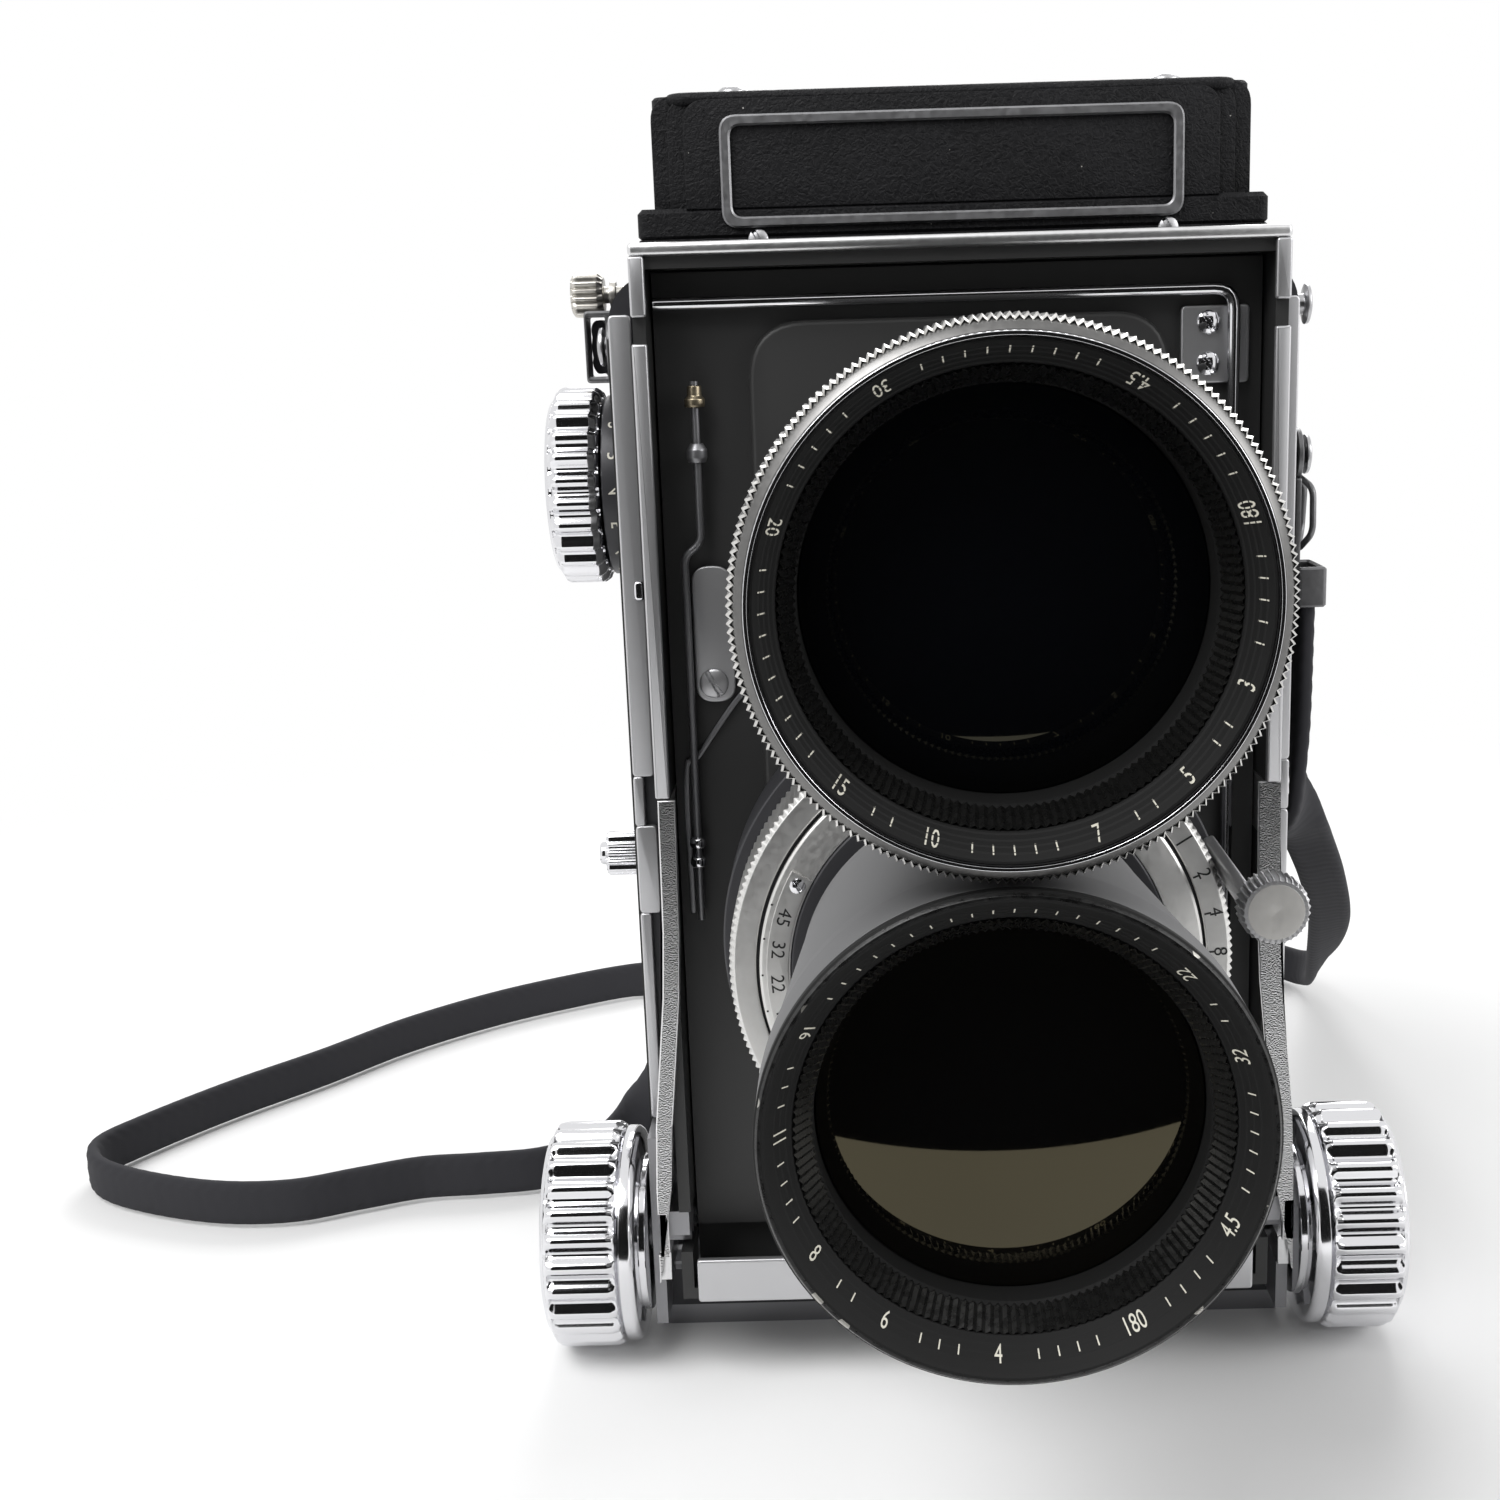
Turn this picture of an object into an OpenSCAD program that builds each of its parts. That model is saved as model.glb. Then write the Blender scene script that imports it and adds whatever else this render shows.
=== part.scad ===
// Twin lens reflex camera with a bellows front, a folded viewing hood and a neck strap.
// Millimetres. The origin is the mouth of the tripod socket; +Y is the back, +Z is up.

/* [Body] */
// Width of the body casting
body_w = 90.4; // [88:0.2:110]
// Depth of the body casting, front to back
body_d = 60; // [58:1:74]
// Height of the top of the casting above the table
body_h = 150; // [148:1:182]
// Wall of the casting
body_wall = 2.6; // [2:0.1:3.2]
// Thickness of the front wall of the casting
front_wall = 3; // [2.5:0.1:4]
// Radius of the top corners of the casting
body_corner_r = 6; // [3:0.5:8]
// Thickness of the floor of the casting
floor_t = 3; // [2.5:0.1:3.2]
// Thickness of the base plate
base_t = 3; // [2:0.5:3]
// Thickness of the back door
door_t = 3.2; // [2.6:0.1:4]
// Thickness of the leather on the two sides
leather_t = 0.6; // [0.4:0.1:1]

/* [Lenses] */
// Height of the taking lens axis
taking_z = 68; // [66:0.5:72]
// Distance between the two lens axes
lens_pitch = 50; // [50:0.5:56]
// Outer radius of the front rim of the taking lens
taking_rim_r = 24.6; // [22:0.1:24.6]
// Outer radius of the toothed ring of the viewing lens
viewing_ring_r = 25; // [22:0.1:25]
// How far the taking lens stands in front of the standard
taking_reach = 76.9; // [60:0.1:90]
// How far the viewing lens stands in front of the standard
viewing_reach = 77.8; // [62:0.1:92]
// Wall of the lens barrels
barrel_wall = 1.5; // [1:0.1:2.5]
// Radius of the barrels where they leave the lens board
barrel_neck_r = 18; // [16:0.5:18]
// Radius of the taking barrel where it leaves the shutter
cone_back_r = 20.5; // [18:0.5:21.5]

/* [Shutter] */
// Radius of the milled speed ring
speed_ring_r = 30.1; // [29:0.1:30.5]
// Radius of the black flange behind the speed ring
shutter_flange_r = 31.4; // [30.5:0.1:31.5]
// Radius of the drum that the speed ring turns on
drum_r = 27.2; // [26.5:0.1:27.6]
// Radius of the neck that the aperture ring turns on
shutter_neck_r = 22.6; // [22:0.1:23]
// How far the shutter stands in front of the standard
shutter_reach = 23.2; // [21:0.1:25]
// Radius at which the cocking lever's button turns about the lens axis
cocking_r = 33; // [32.5:0.5:35]
// Radius of the cocking lever's button
cocking_button_r = 3.6; // [3:0.1:3.8]

/* [Front standard] */
// Width of the front standard
frame_w = 80.6; // [80:0.2:84]
// Height of the top bar of the standard
frame_top = 153.2; // [151:0.2:156]
// Height of the underside of the standard
frame_bottom = 12.9; // [10:0.1:14]
// Depth of the standard's box
frame_d = 12; // [11:0.5:14]
// Wall of the standard's box
frame_wall = 1.6; // [1.2:0.1:2]
// Gap between the standard and the body with the bellows shut
bellows_gap = 6.5; // [6:0.5:9]
// Focusing travel of the standard
focus_travel = 55; // [40:1:55]
// Width of the light path through the bellows
bellows_w = 62; // [60:1:64]
// Thickness of the bellows' folds
bellows_fold = 3; // [2:0.5:3]

/* [Focusing drive] */
// Radius of the two focusing knobs
focus_knob_r = 16; // [14:0.5:16]
// Overall width across the two focusing knobs
focus_span = 119.8; // [119:0.2:140]
// Height of the focusing shaft
shaft_z = 16.4; // [16.4:0.1:18]
// Radius of the focusing shaft
shaft_r = 2.4; // [2:0.1:2.5]
// Pitch radius of the pinions
pinion_r = 4.8; // [4.8:0.4:5.6]
// Number of teeth on each pinion
pinion_teeth = 12; // [12:1:14]
// Width of the racks and pinions
rack_w = 3.4; // [3:0.1:3.5]
// Height of the racks above their pitch line
rack_h = 4.6; // [4:0.1:5]

/* [Film transport] */
// Distance of the winding knob's axis behind the tripod socket
wind_y = 7; // [6:0.5:8]
// Height of the winding knob's axis
wind_z = 120.5; // [120:0.5:122]
// Radius of the winding knob
wind_knob_r = 14.8; // [12:0.2:15]
// Pitch radius of the two equal winding gears
wind_gear_r = 5.85; // [5.85:0.05:6]
// Number of teeth on each winding gear
wind_gear_teeth = 18; // [16:1:20]
// Angle of the take-up spool below the winding knob, from the back
wind_angle = 50; // [48:1:52]
// Radius of the film spool flanges
spool_r = 12.2; // [11:0.1:12.3]
// Length of the film spools
spool_l = 65; // [64:0.5:65]
// Radius of the spool core
spool_core_r = 5.5; // [5:0.1:7]
// Side of the square picture opening
gate_side = 56; // [50:1:57]
// Radius of the film rollers
roller_r = 2; // [1.5:0.1:2]

/* [Viewing hood] */
// Width of the hood
hood_w = 76.6; // [75:0.2:78]
// Depth of the hood, front to back
hood_d = 60; // [58:0.5:62]
// Overhang of the hood in front of the body
hood_front = 3.1; // [1:0.1:4]
// Height of the foot that carries the hood
hood_foot_h = 8; // [7:0.5:9]
// Height of the walls above the foot
hood_wall_h = 12.1; // [11:0.1:14]
// Thickness of the hood walls
hood_wall = 1.5; // [1.2:0.1:2]
// Thickness of the lid
lid_t = 1.6; // [1.2:0.1:2]
// Height of the folding side flaps
flap_h = 24; // [18:0.5:24]
// Height of the folding back flap
back_flap_h = 16; // [12:0.5:16]
// Radius of the magnifier's ring
magnifier_r = 11; // [9:0.5:11]
// Distance of the magnifier from its pivot
magnifier_arm = 25; // [22:0.5:25]

/* [Fits] */
// Radial clearance of a shaft that turns in its hole
run_clear = 0.06; // [0.02:0.01:0.1]
// Clearance between pieces that move past each other
move_clear = 0.3; // [0.3:0.05:0.5]

/* [Strap] */
// Width of the strap
strap_w = 7.5; // [6:0.5:8]
// Thickness of the strap
strap_t = 2.4; // [1.6:0.2:3]

/* [Hidden] */
$fn = 64;
eps = 0.01;

// Planes that many pieces share
front_y = -body_d / 2;
back_y = body_d / 2;
standard_back = front_y - bellows_gap;
standard_front = standard_back - frame_d;
viewing_z = taking_z + lens_pitch;
board_t = 2.4;
board_front = standard_back - frame_wall - board_t;
panel_t = 1.5;
trim_t = 1.1;
cheek_w = 2.2;
inner_x = body_w / 2 - body_wall;
plate_x = 34.2;
plate_t = 1.4;

// Focusing drive
shaft_y = front_y - 2.9;
tooth_pitch = 2 * PI * pinion_r / pinion_teeth;
tooth_up = 0.9;
tooth_down = 1.1;
rack_x = frame_w / 2 - frame_wall + 0.2;
rack_z0 = shaft_z + pinion_r;
rack_end = shaft_y + focus_travel + 3;
notch_gap = 0.4;
knob_flange_r = 13.4;

// Film transport
takeup_y = wind_y + 2 * wind_gear_r * cos(wind_angle);
takeup_z = wind_z - 2 * wind_gear_r * sin(wind_angle);
supply_y = 14;
supply_z = base_t + floor_t + spool_r + 0.2;
gate_y = back_y - 8;
gate_t = 2;
gate_h = gate_side + 3;
roller_y = gate_y + 1;
roller_drop = gate_h / 2 + 3;
wind_gear_t = 3;
wind_face_x = 58.8;
wind_rib_x = 50.8;
dial_r = 13.4;

// Hood
hood_y0 = front_y - hood_front;
hood_y1 = hood_y0 + hood_d;
foot_z1 = body_h + hood_foot_h;
wall_z1 = foot_z1 + hood_wall_h;
lid_z = wall_z1 + 0.4;
lid_hinge_y = hood_y0 + lid_t / 2;
lid_hinge_z = lid_z + lid_t / 2;
lid_pin_r = 0.4;
lid_edge = 1.8;
flap_z = foot_z1 + 5.5;
flap_t = 0.8;
flap_x = hood_w / 2 - hood_wall - 0.9;
flap_y0 = hood_y0 + hood_wall + 0.9;
flap_y1 = hood_y1 - hood_wall - 1.2;
mitre_gap = 0.5;
magnifier_y = hood_y1 - 8;
magnifier_z = lid_z - 3.3;

// Tripod socket: tapping radius of a quarter-inch thread, neck and flange
socket_r = 2.55;
socket_neck_r = 4.6;
socket_flange_r = 6;

// Seats of the front glasses and of the toothed ring
glass_r = 18.9;
glass_seat_r = 19;
ring_seat_r = 22.9;
seat_gap = 0.05;

// Mirror and screen
mirror_y = -3;
mirror_t = 1.6;
screen_w = 58;

// Places of the small fittings on the sides
release_y = 1.5;
release_z = 64;
release_travel = 6;
hood_screw_y = 1.5;
left_lug = [-12, 141];
right_lug = [-22, 124];
right_stud = [-20, 144];
pin_r = 1.6;
lever_screw = [-32.6, 97.9];
bail_z = 146;
bail_r = 0.8;
bail_leg_x = 34.4;

// Strap route: points on its middle line, each with the direction that its width takes there
STRAP = [
    [[48.6, -22, 107], [0, 1, 0]], [[48.6, -21.8, 97], [0, 1, 0]], [[48.6, -21, 86], [0, 1, 0]],
    [[49.2, -18.5, 76.5], [0.3, 1, 0]], [[51.6, -10.5, 69.5], [0.8, 0.7, 0]],
    [[55.6, 1.5, 63.5], [1, 0.1, 0]], [[62.4, 20, 52.1], [1, -0.2, 0.1]], [[70, 45, 37.5], [1, -0.3, 0.2]],
    [[76.5, 75, 21.5], [0.8, -0.2, 0.6]], [[80, 97, 10.5], [0.4, 0, 1]], [[80.5, 112, 5.2], [0.1, 0.2, 1]],
    [[75, 121, 4.4], [0, 0.1, 1]], [[64, 124.5, 3.6], [0, 1, 1]], [[51, 124.5, 2], [0, 1, 0.15]],
    [[38, 122.5, 1.5], [0, 1, 0]], [[20, 120, 1.5], [0, 1, 0]], [[2, 118.5, 1.5], [0, 1, 0]],
    [[-16, 118, 1.5], [0, 1, 0]], [[-33, 119, 1.5], [0, 1, 0]], [[-47, 120.5, 1.9], [0, 1, 0.1]],
    [[-57, 120, 3.5], [0, 0.8, 1]], [[-65.5, 117.9, 4.4], [0, 0, 1]], [[-78, 111.5, 4.4], [0, 0, 1]],
    [[-93.3, 100.9, 4.4], [0, 0, 1]], [[-108.6, 86, 4.4], [0, 0, 1]], [[-121.6, 68.5, 4.4], [0, 0, 1]],
    [[-134.3, 53.1, 4.4], [0, 0, 1]], [[-145, 37.5, 4.4], [0, 0, 1]], [[-150, 27, 4.4], [0, 0, 1]],
    [[-146.5, 18.5, 4.4], [0, 0, 1]], [[-136.3, 11.8, 4.4], [0, 0, 1]], [[-122.5, 7, 4.4], [0, 0, 1]],
    [[-110.3, 6.8, 4.4], [0, 0, 1]], [[-99.8, 11.1, 4.4], [0, 0, 1]], [[-90.5, 14.8, 4.4], [0, 0, 1]],
    [[-80.5, 15.8, 4.4], [0, 0, 1]], [[-70.4, 17.5, 4.4], [0, 0, 1]], [[-62, 22.5, 4.8], [-0.1, 0.1, 1]],
    [[-55.8, 30.5, 7.5], [-0.3, 0.5, 0.8]], [[-52.2, 36.5, 15], [-0.1, 1, 0.5]],
    [[-50.6, 38, 27], [0, 1, 0.1]], [[-50, 38, 42], [0, 1, 0]], [[-49.8, 37.5, 58], [0, 1, 0]],
    [[-49.6, 36.5, 76], [0, 1, 0]], [[-49.6, 35.5, 93], [0, 1, 0]], [[-49.6, 33, 109], [0, 1, 0.2]],
    [[-49.6, 28, 124], [0, 1, 0.5]], [[-49.6, 20, 135.5], [0, 0.7, 1]], [[-49.6, 9.5, 140], [0, 0.2, 1]],
    [[-49.6, 0, 141], [0, 0, 1]], [[-49.6, -5.5, 141], [0, 0, 1]],
];

// ---- Shapes used by many pieces ----

module block(x0, x1, y0, y1, z0, z1) {
    translate([x0, y0, z0]) cube([x1 - x0, y1 - y0, z1 - z0]);
}

module across(r, x0, x1, y, z) {
    translate([x0, y, z]) rotate([0, 90, 0]) cylinder(r = r, h = x1 - x0);
}

module along(r, y0, y1, x, z) {
    translate([x, y1, z]) rotate([90, 0, 0]) cylinder(r = r, h = y1 - y0);
}

// Turned piece about an axis along Y; points are [radius, y]
module turned(points, z) {
    translate([0, 0, z]) rotate([90, 0, 0])
        rotate_extrude() polygon([for (p = points) [p[0], -p[1]]]);
}

module both_sides() {
    children();
    mirror([1, 0, 0]) children();
}

// Plate in the XZ plane between y0 and y1
module panel_y(y0, y1) {
    translate([0, y1, 0]) rotate([90, 0, 0]) linear_extrude(y1 - y0) children();
}

// Plate in the YZ plane between x0 and x1, drawn with [y, z] points
module panel_x(x0, x1) {
    translate([x0, 0, 0]) rotate([90, 0, 90]) linear_extrude(x1 - x0) children();
}

module round_rect(w, h, r) {
    for (x = [-1, 1], y = [-1, 1]) translate([x * (w / 2 - r), y * (h / 2 - r)]) circle(r);
    square([w - 2 * r, h], center = true);
    square([w, h - 2 * r], center = true);
}

// Tooth outline: trapezoids on a pitch circle, the first tooth on the positive X axis
function tooth_points(n, r, phase) = [
    for (i = [0:n - 1], k = [[-0.27, -tooth_down], [-0.12, tooth_up], [0.12, tooth_up], [0.27, -tooth_down]])
        let (a = phase + 360 * (i + k[0]) / n) (r + k[1] * 0.85) * [cos(a), sin(a)]
];

// Fluted knob outline with broad rounded ribs
function rib_points(r, n, depth) = [
    for (i = [0:6 * n - 1])
        let (a = 60 * i / n, q = r - depth * pow(abs(cos(n * a / 2)), 6)) q * [cos(a), sin(a)]
];

// ---- Body ----

module casting_outline(inset) {
    w = body_w / 2 - inset;
    z1 = body_h - inset;
    r = body_corner_r;
    translate([-w, base_t]) square([2 * w, z1 - r - base_t]);
    translate([-w + r, base_t]) square([2 * (w - r), z1 - base_t]);
    for (x = [-1, 1]) translate([x * (w - r), z1 - r]) circle(r);
}

module body_shell() {
    cav_z0 = base_t + floor_t;
    color([0.06, 0.06, 0.065]) difference() {
        panel_y(front_y, back_y) casting_outline(0);
        block(-inner_x, inner_x, front_y + front_wall, back_y + 1, cav_z0, body_h - body_corner_r);
        block(-inner_x + body_corner_r, inner_x - body_corner_r, front_y + front_wall, back_y + 1,
            cav_z0, body_h - body_wall);
        block(-bellows_w / 2, bellows_w / 2, front_y - 1, front_y + front_wall + 1,
            taking_z - 38, viewing_z + 26);
        both_sides() block(rack_x - notch_gap, inner_x, front_y - 1, front_y + front_wall + 1,
            shaft_z - pinion_r - 1.6, rack_z0 + rack_h + notch_gap);
        translate([0, 0, base_t - 1]) cylinder(r = socket_neck_r, h = floor_t + 2);
        block(-screen_w / 2 + 2, screen_w / 2 - 2, mirror_y - screen_w / 2 + 5, mirror_y + screen_w / 2 - 2,
            body_h - body_wall - 1, body_h + 1);
        across(2 + run_clear, -body_w, 0, wind_y, wind_z);
        across(pin_r + run_clear, 0, body_w, takeup_y, takeup_z);
        across(pin_r + run_clear, 0, body_w, supply_y, supply_z);
        across(1.2 + run_clear, -body_w, -30, hood_screw_y, body_h - 1.6);
        block(-body_w, -inner_x + 1, release_y - 1.6, release_y + 1.6,
            release_z - release_travel - 1.6, release_z + 1.6);
    }
}

module base_plate() {
    hinge_y = back_y + 2.2;
    color([0.55, 0.55, 0.56]) difference() {
        union() {
            block(-body_w / 2, body_w / 2, front_y, back_y + 2, 0, base_t);
            both_sides() {
                block(30, 38, back_y + 0.2, hinge_y + 1.6, 0, 4.8);
                across(1.6, 30, 38, hinge_y, 4.8);
            }
            across(0.8, -34, 34, hinge_y, 4.8);
        }
        translate([0, 0, -1]) cylinder(r = socket_flange_r, h = base_t + 2);
    }
}

module tripod_socket() {
    color([0.75, 0.75, 0.77]) difference() {
        union() {
            cylinder(r = socket_flange_r, h = base_t);
            translate([0, 0, base_t + floor_t]) cylinder(r = 7, h = 2.5);
            translate([0, 0, base_t]) cylinder(r = socket_neck_r, h = floor_t);
        }
        translate([0, 0, -1]) cylinder(r = socket_r, h = base_t + floor_t + 2);
    }
}

// Plates of the dark chamber: the funnel behind the taking lens and the cheeks beside the spools
module light_chamber() {
    y0 = front_y + front_wall;
    plate_z1 = body_h - body_wall - 0.6;
    color([0.05, 0.05, 0.05]) {
        difference() {
            hull() {
                block(-31, 31, y0, y0 + 1, taking_z - 31, taking_z + 26.5);
                block(-gate_h / 2, gate_h / 2, gate_y - 1, gate_y, taking_z - gate_h / 2, taking_z + gate_h / 2);
            }
            hull() {
                block(-30, 30, y0 - 1, y0, taking_z - 30, taking_z + 25.5);
                block(-gate_side / 2, gate_side / 2, gate_y, gate_y + 1,
                    taking_z - gate_side / 2, taking_z + gate_side / 2);
            }
        }
        both_sides() difference() {
            block(plate_x, plate_x + plate_t, y0, gate_y, base_t + floor_t, plate_z1);
            across(pin_r + run_clear, 0, body_w, takeup_y, takeup_z);
            across(pin_r + run_clear, 0, body_w, supply_y, supply_z);
            across(2 + run_clear, 0, body_w, wind_y, wind_z);
        }
        both_sides() for (s = [-1, 1]) difference() {
            block(plate_x, plate_x + plate_t, gate_y, roller_y + 2.5,
                taking_z + s * roller_drop - 2.6, taking_z + s * roller_drop + 2.6);
            across(0.9 + run_clear, 0, body_w, roller_y, taking_z + s * roller_drop);
        }
        across(pin_r, -plate_x - plate_t, -spool_l / 2 + 2.5, supply_y, supply_z);
    }
}

module reflex_mirror() {
    half = 37;
    color([0.8, 0.83, 0.85])
        translate([0, mirror_y, viewing_z]) rotate([45, 0, 0])
            block(-33.8, 33.8, -half + 9, half + 1, -mirror_t, 0);
}

module film_gate() {
    color([0.12, 0.12, 0.12]) {
        difference() {
            block(-inner_x, inner_x, gate_y, gate_y + gate_t, taking_z - gate_h / 2 + 1, taking_z + gate_h / 2 - 1);
            block(-gate_side / 2, gate_side / 2, gate_y - 1, gate_y + gate_t + 1,
                taking_z - gate_side / 2 + 0.5, taking_z + gate_side / 2 - 0.5);
        }
        both_sides() block(30.5, 31.5, gate_y + gate_t, gate_y + gate_t + 0.6,
            taking_z - gate_h / 2 + 1, taking_z + gate_h / 2 - 1);
    }
}

module film_roller(side) {
    z = taking_z + side * roller_drop;
    y = roller_y;
    color([0.7, 0.7, 0.72]) {
        across(roller_r, -30, 30, y, z);
        across(0.9, -plate_x - plate_t, plate_x + plate_t, y, z);
    }
}

module focusing_screen() {
    half = screen_w / 2;
    color([0.75, 0.78, 0.76, 0.6])
        block(-half + 0.4, half - 0.4, mirror_y - half + 3.4, mirror_y + half - 0.4, body_h, body_h + 1.6);
}

// ---- Viewing hood ----

module hood_base() {
    half = screen_w / 2;
    w = hood_w / 2;
    color([0.07, 0.07, 0.075]) difference() {
        union() {
            block(-w - 2.2, w + 2.2, hood_y0, hood_y1, body_h, foot_z1);
            block(-w, w, hood_y0, hood_y1, foot_z1, wall_z1);
            both_sides() {
                block(w - lid_edge + move_clear, w, hood_y0, hood_y0 + lid_t, wall_z1 - 1, lid_hinge_z + 0.6);
                across(lid_pin_r, w - lid_edge - 2, w, lid_hinge_y, lid_hinge_z);
            }
        }
        block(-w + hood_wall, w - hood_wall, hood_y0 + hood_wall, hood_y1 - hood_wall, body_h + 4, wall_z1 + 1);
        block(-half, half, mirror_y - half + 3, mirror_y + half, body_h - 1, body_h + 5);
    }
}

module nameplate_frame() {
    w = 59;
    h = 13.8;
    color([0.6, 0.6, 0.61]) translate([0, 0, foot_z1 + hood_wall_h / 2 - 1.8])
        panel_y(hood_y0 - 0.7, hood_y0) difference() {
            round_rect(w, h, 1.6);
            round_rect(w - 2.2, h - 2.2, 1);
        }
}

module hood_lid() {
    w = hood_w / 2;
    ear = 1.2;
    color([0.07, 0.07, 0.075]) {
        difference() {
            union() {
                block(-w + lid_edge, w - lid_edge, lid_hinge_y, hood_y1 - 0.4, lid_z, lid_z + lid_t);
                across(lid_t / 2, -w + lid_edge, w - lid_edge, lid_hinge_y, lid_hinge_z);
            }
            both_sides() across(lid_pin_r + run_clear, w - lid_edge - 2.2, w, lid_hinge_y, lid_hinge_z);
        }
        both_sides() {
            translate([w - 10.5, hood_y0 + 5, lid_z + lid_t]) cylinder(r = 1.8, h = 0.8);
            difference() {
                block(4.6, 4.6 + ear, magnifier_y - 1.6, magnifier_y + 1.6, magnifier_z - 1.4, lid_z);
                across(0.7 + run_clear, 0, 10, magnifier_y, magnifier_z);
            }
        }
    }
}

module magnifier() {
    y = magnifier_y - magnifier_arm;
    color([0.5, 0.5, 0.52]) {
        across(0.7, -5.8, 5.8, magnifier_y, magnifier_z);
        block(-2.5, 2.5, y + magnifier_r - 0.8, magnifier_y, magnifier_z - 0.7, magnifier_z + 0.7);
        translate([0, y, magnifier_z - 1.2]) difference() {
            cylinder(r = magnifier_r, h = 2.4);
            translate([0, 0, 1.9]) cylinder(r = magnifier_r - 1.2, h = 1);
            translate([0, 0, -0.5]) cylinder(r = magnifier_r - 1.2, h = 1);
        }
    }
}

// Side flap: its ends are cut at 45 degrees, so the three flaps meet on mitre lines
module side_flap() {
    y0 = flap_y0 + mitre_gap;
    y1 = flap_y1 - mitre_gap;
    pin = 0.5;
    color([0.08, 0.08, 0.085]) {
        translate([0, 0, flap_z - flap_t / 2]) linear_extrude(flap_t)
            polygon([[flap_x, y0], [flap_x, y1], [flap_x - flap_h, y1 - flap_h], [flap_x - flap_h, y0 + flap_h]]);
        along(pin, y0, y1, flap_x, flap_z);
    }
}

module rear_flap() {
    w = flap_x - mitre_gap;
    color([0.08, 0.08, 0.085]) {
        translate([0, 0, flap_z - flap_t / 2]) linear_extrude(flap_t)
            polygon([[-w, flap_y1], [w, flap_y1], [w - back_flap_h, flap_y1 - back_flap_h],
                [back_flap_h - w, flap_y1 - back_flap_h]]);
        across(0.5, -w, w, flap_y1, flap_z);
    }
}

module hood_screw() {
    z = body_h - 1.6;
    color([0.75, 0.75, 0.76]) {
        across(1.2, -50, -38.5, hood_screw_y, z);
        across(1.9, -48, -46.6, hood_screw_y, z);
        translate([-54.1, hood_screw_y, z]) rotate([0, 90, 0])
            linear_extrude(4.7) polygon(rib_points(3.2, 14, 0.5));
    }
}

// ---- Side fittings of the body ----

module side_trims() {
    color([0.62, 0.62, 0.63]) both_sides()
        difference() {
            intersection() {
                panel_y(front_y - trim_t, front_y) casting_outline(0);
                block(body_w / 2 - 3, body_w / 2, front_y - trim_t - 1, front_y + 1, 33, body_h - 5);
            }
            block(inner_x - 1, inner_x + 0.8, front_y - 2, front_y - trim_t + 0.4, taking_z + 8, taking_z + 15);
        }
}

module side_covers() {
    x = body_w / 2;
    color([0.05, 0.05, 0.05]) both_sides()
        difference() {
            panel_x(x, x + leather_t) polygon([[front_y + 2, base_t + 1], [back_y - 1, base_t + 1],
                [back_y - 1, body_h - 8], [front_y + 2, body_h - 8]]);
            for (p = [[takeup_y, takeup_z], [supply_y, supply_z], [wind_y, wind_z]])
                across(3, x - 1, x + 2, p[0], p[1]);
            across(knob_flange_r + move_clear, x - 1, x + 2, shaft_y, shaft_z);
            block(x - 1, x + 2, release_y - 2.2, release_y + 2.2, release_z - release_travel - 3, release_z + 3);
            for (p = [left_lug, right_lug]) across(3.2, x - 1, x + 2, p[0], p[1]);
            across(3.2, x - 1, x + 2, right_stud[0], right_stud[1]);
        }
}

module focus_bearings() {
    x = body_w / 2;
    color([0.2, 0.2, 0.2]) both_sides() difference() {
        block(x - 1.6, x, shaft_y - 4.5, front_y, 4, 32.5);
        across(shaft_r + run_clear, 0, x + 1, shaft_y, shaft_z);
    }
}

module lug(x, p) {
    across(2.6, x, x + 1.2, p[0], p[1]);
    across(1.4, x, x + 3, p[0], p[1]);
    across(2.7, x + 3, x + 3.8, p[0], p[1]);
}

module strap_studs() {
    x = body_w / 2;
    color([0.6, 0.6, 0.61]) {
        lug(x, right_lug);
        lug(x, right_stud);
        mirror([1, 0, 0]) lug(x, left_lug);
    }
}

module strap_clips() {
    x = body_w / 2 + 1.5;
    thick = 0.8;
    p = right_lug;
    q = left_lug;
    color([0.35, 0.35, 0.36]) {
        difference() {
            union() {
                block(x, x + thick, p[0] - 3.6, p[0] + 3.6, p[1] - 15, p[1] + 3.6);
                block(x, x + 4, p[0] - 5, p[0] + 5, p[1] - 20.5, p[1] - 15);
            }
            across(1.4 + move_clear, x - 1, x + 2, p[0], p[1]);
            block(x + 0.7, x + 3.3, p[0] - 4.1, p[0] + 4.1, p[1] - 27, p[1] - 16.5);
        }
        mirror([1, 0, 0]) difference() {
            union() {
                block(x, x + thick, q[0] - 3.6, q[0] + 3, q[1] - 3.6, q[1] + 3.6);
                block(x, x + 4.6, q[0] + 3, q[0] + 8, q[1] - 5, q[1] + 5);
            }
            across(1.4 + move_clear, x - 1, x + 2, q[0], q[1]);
            block(x + 1.7, x + 4.1, q[0] + 5.5, q[0] + 20, q[1] - 4.1, q[1] + 4.1);
        }
    }
}

// ---- Strap ----

function unit(v) = v / norm(v);
function tangent(i) =
    unit(STRAP[min(i + 1, len(STRAP) - 1)][0] - STRAP[max(i - 1, 0)][0]);
function ring(i) =
    let (t = tangent(i), w0 = STRAP[i][1], w = unit(w0 - (w0 * t) * t), n = cross(t, w),
        a = strap_w / 2, b = strap_t / 2)
    [for (k = [[a - 0.9, b], [a, b - 0.6], [a, 0.6 - b], [a - 0.9, -b],
        [0.9 - a, -b], [-a, 0.6 - b], [-a, b - 0.6], [0.9 - a, b]])
        STRAP[i][0] + k[0] * w + k[1] * n];

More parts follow.
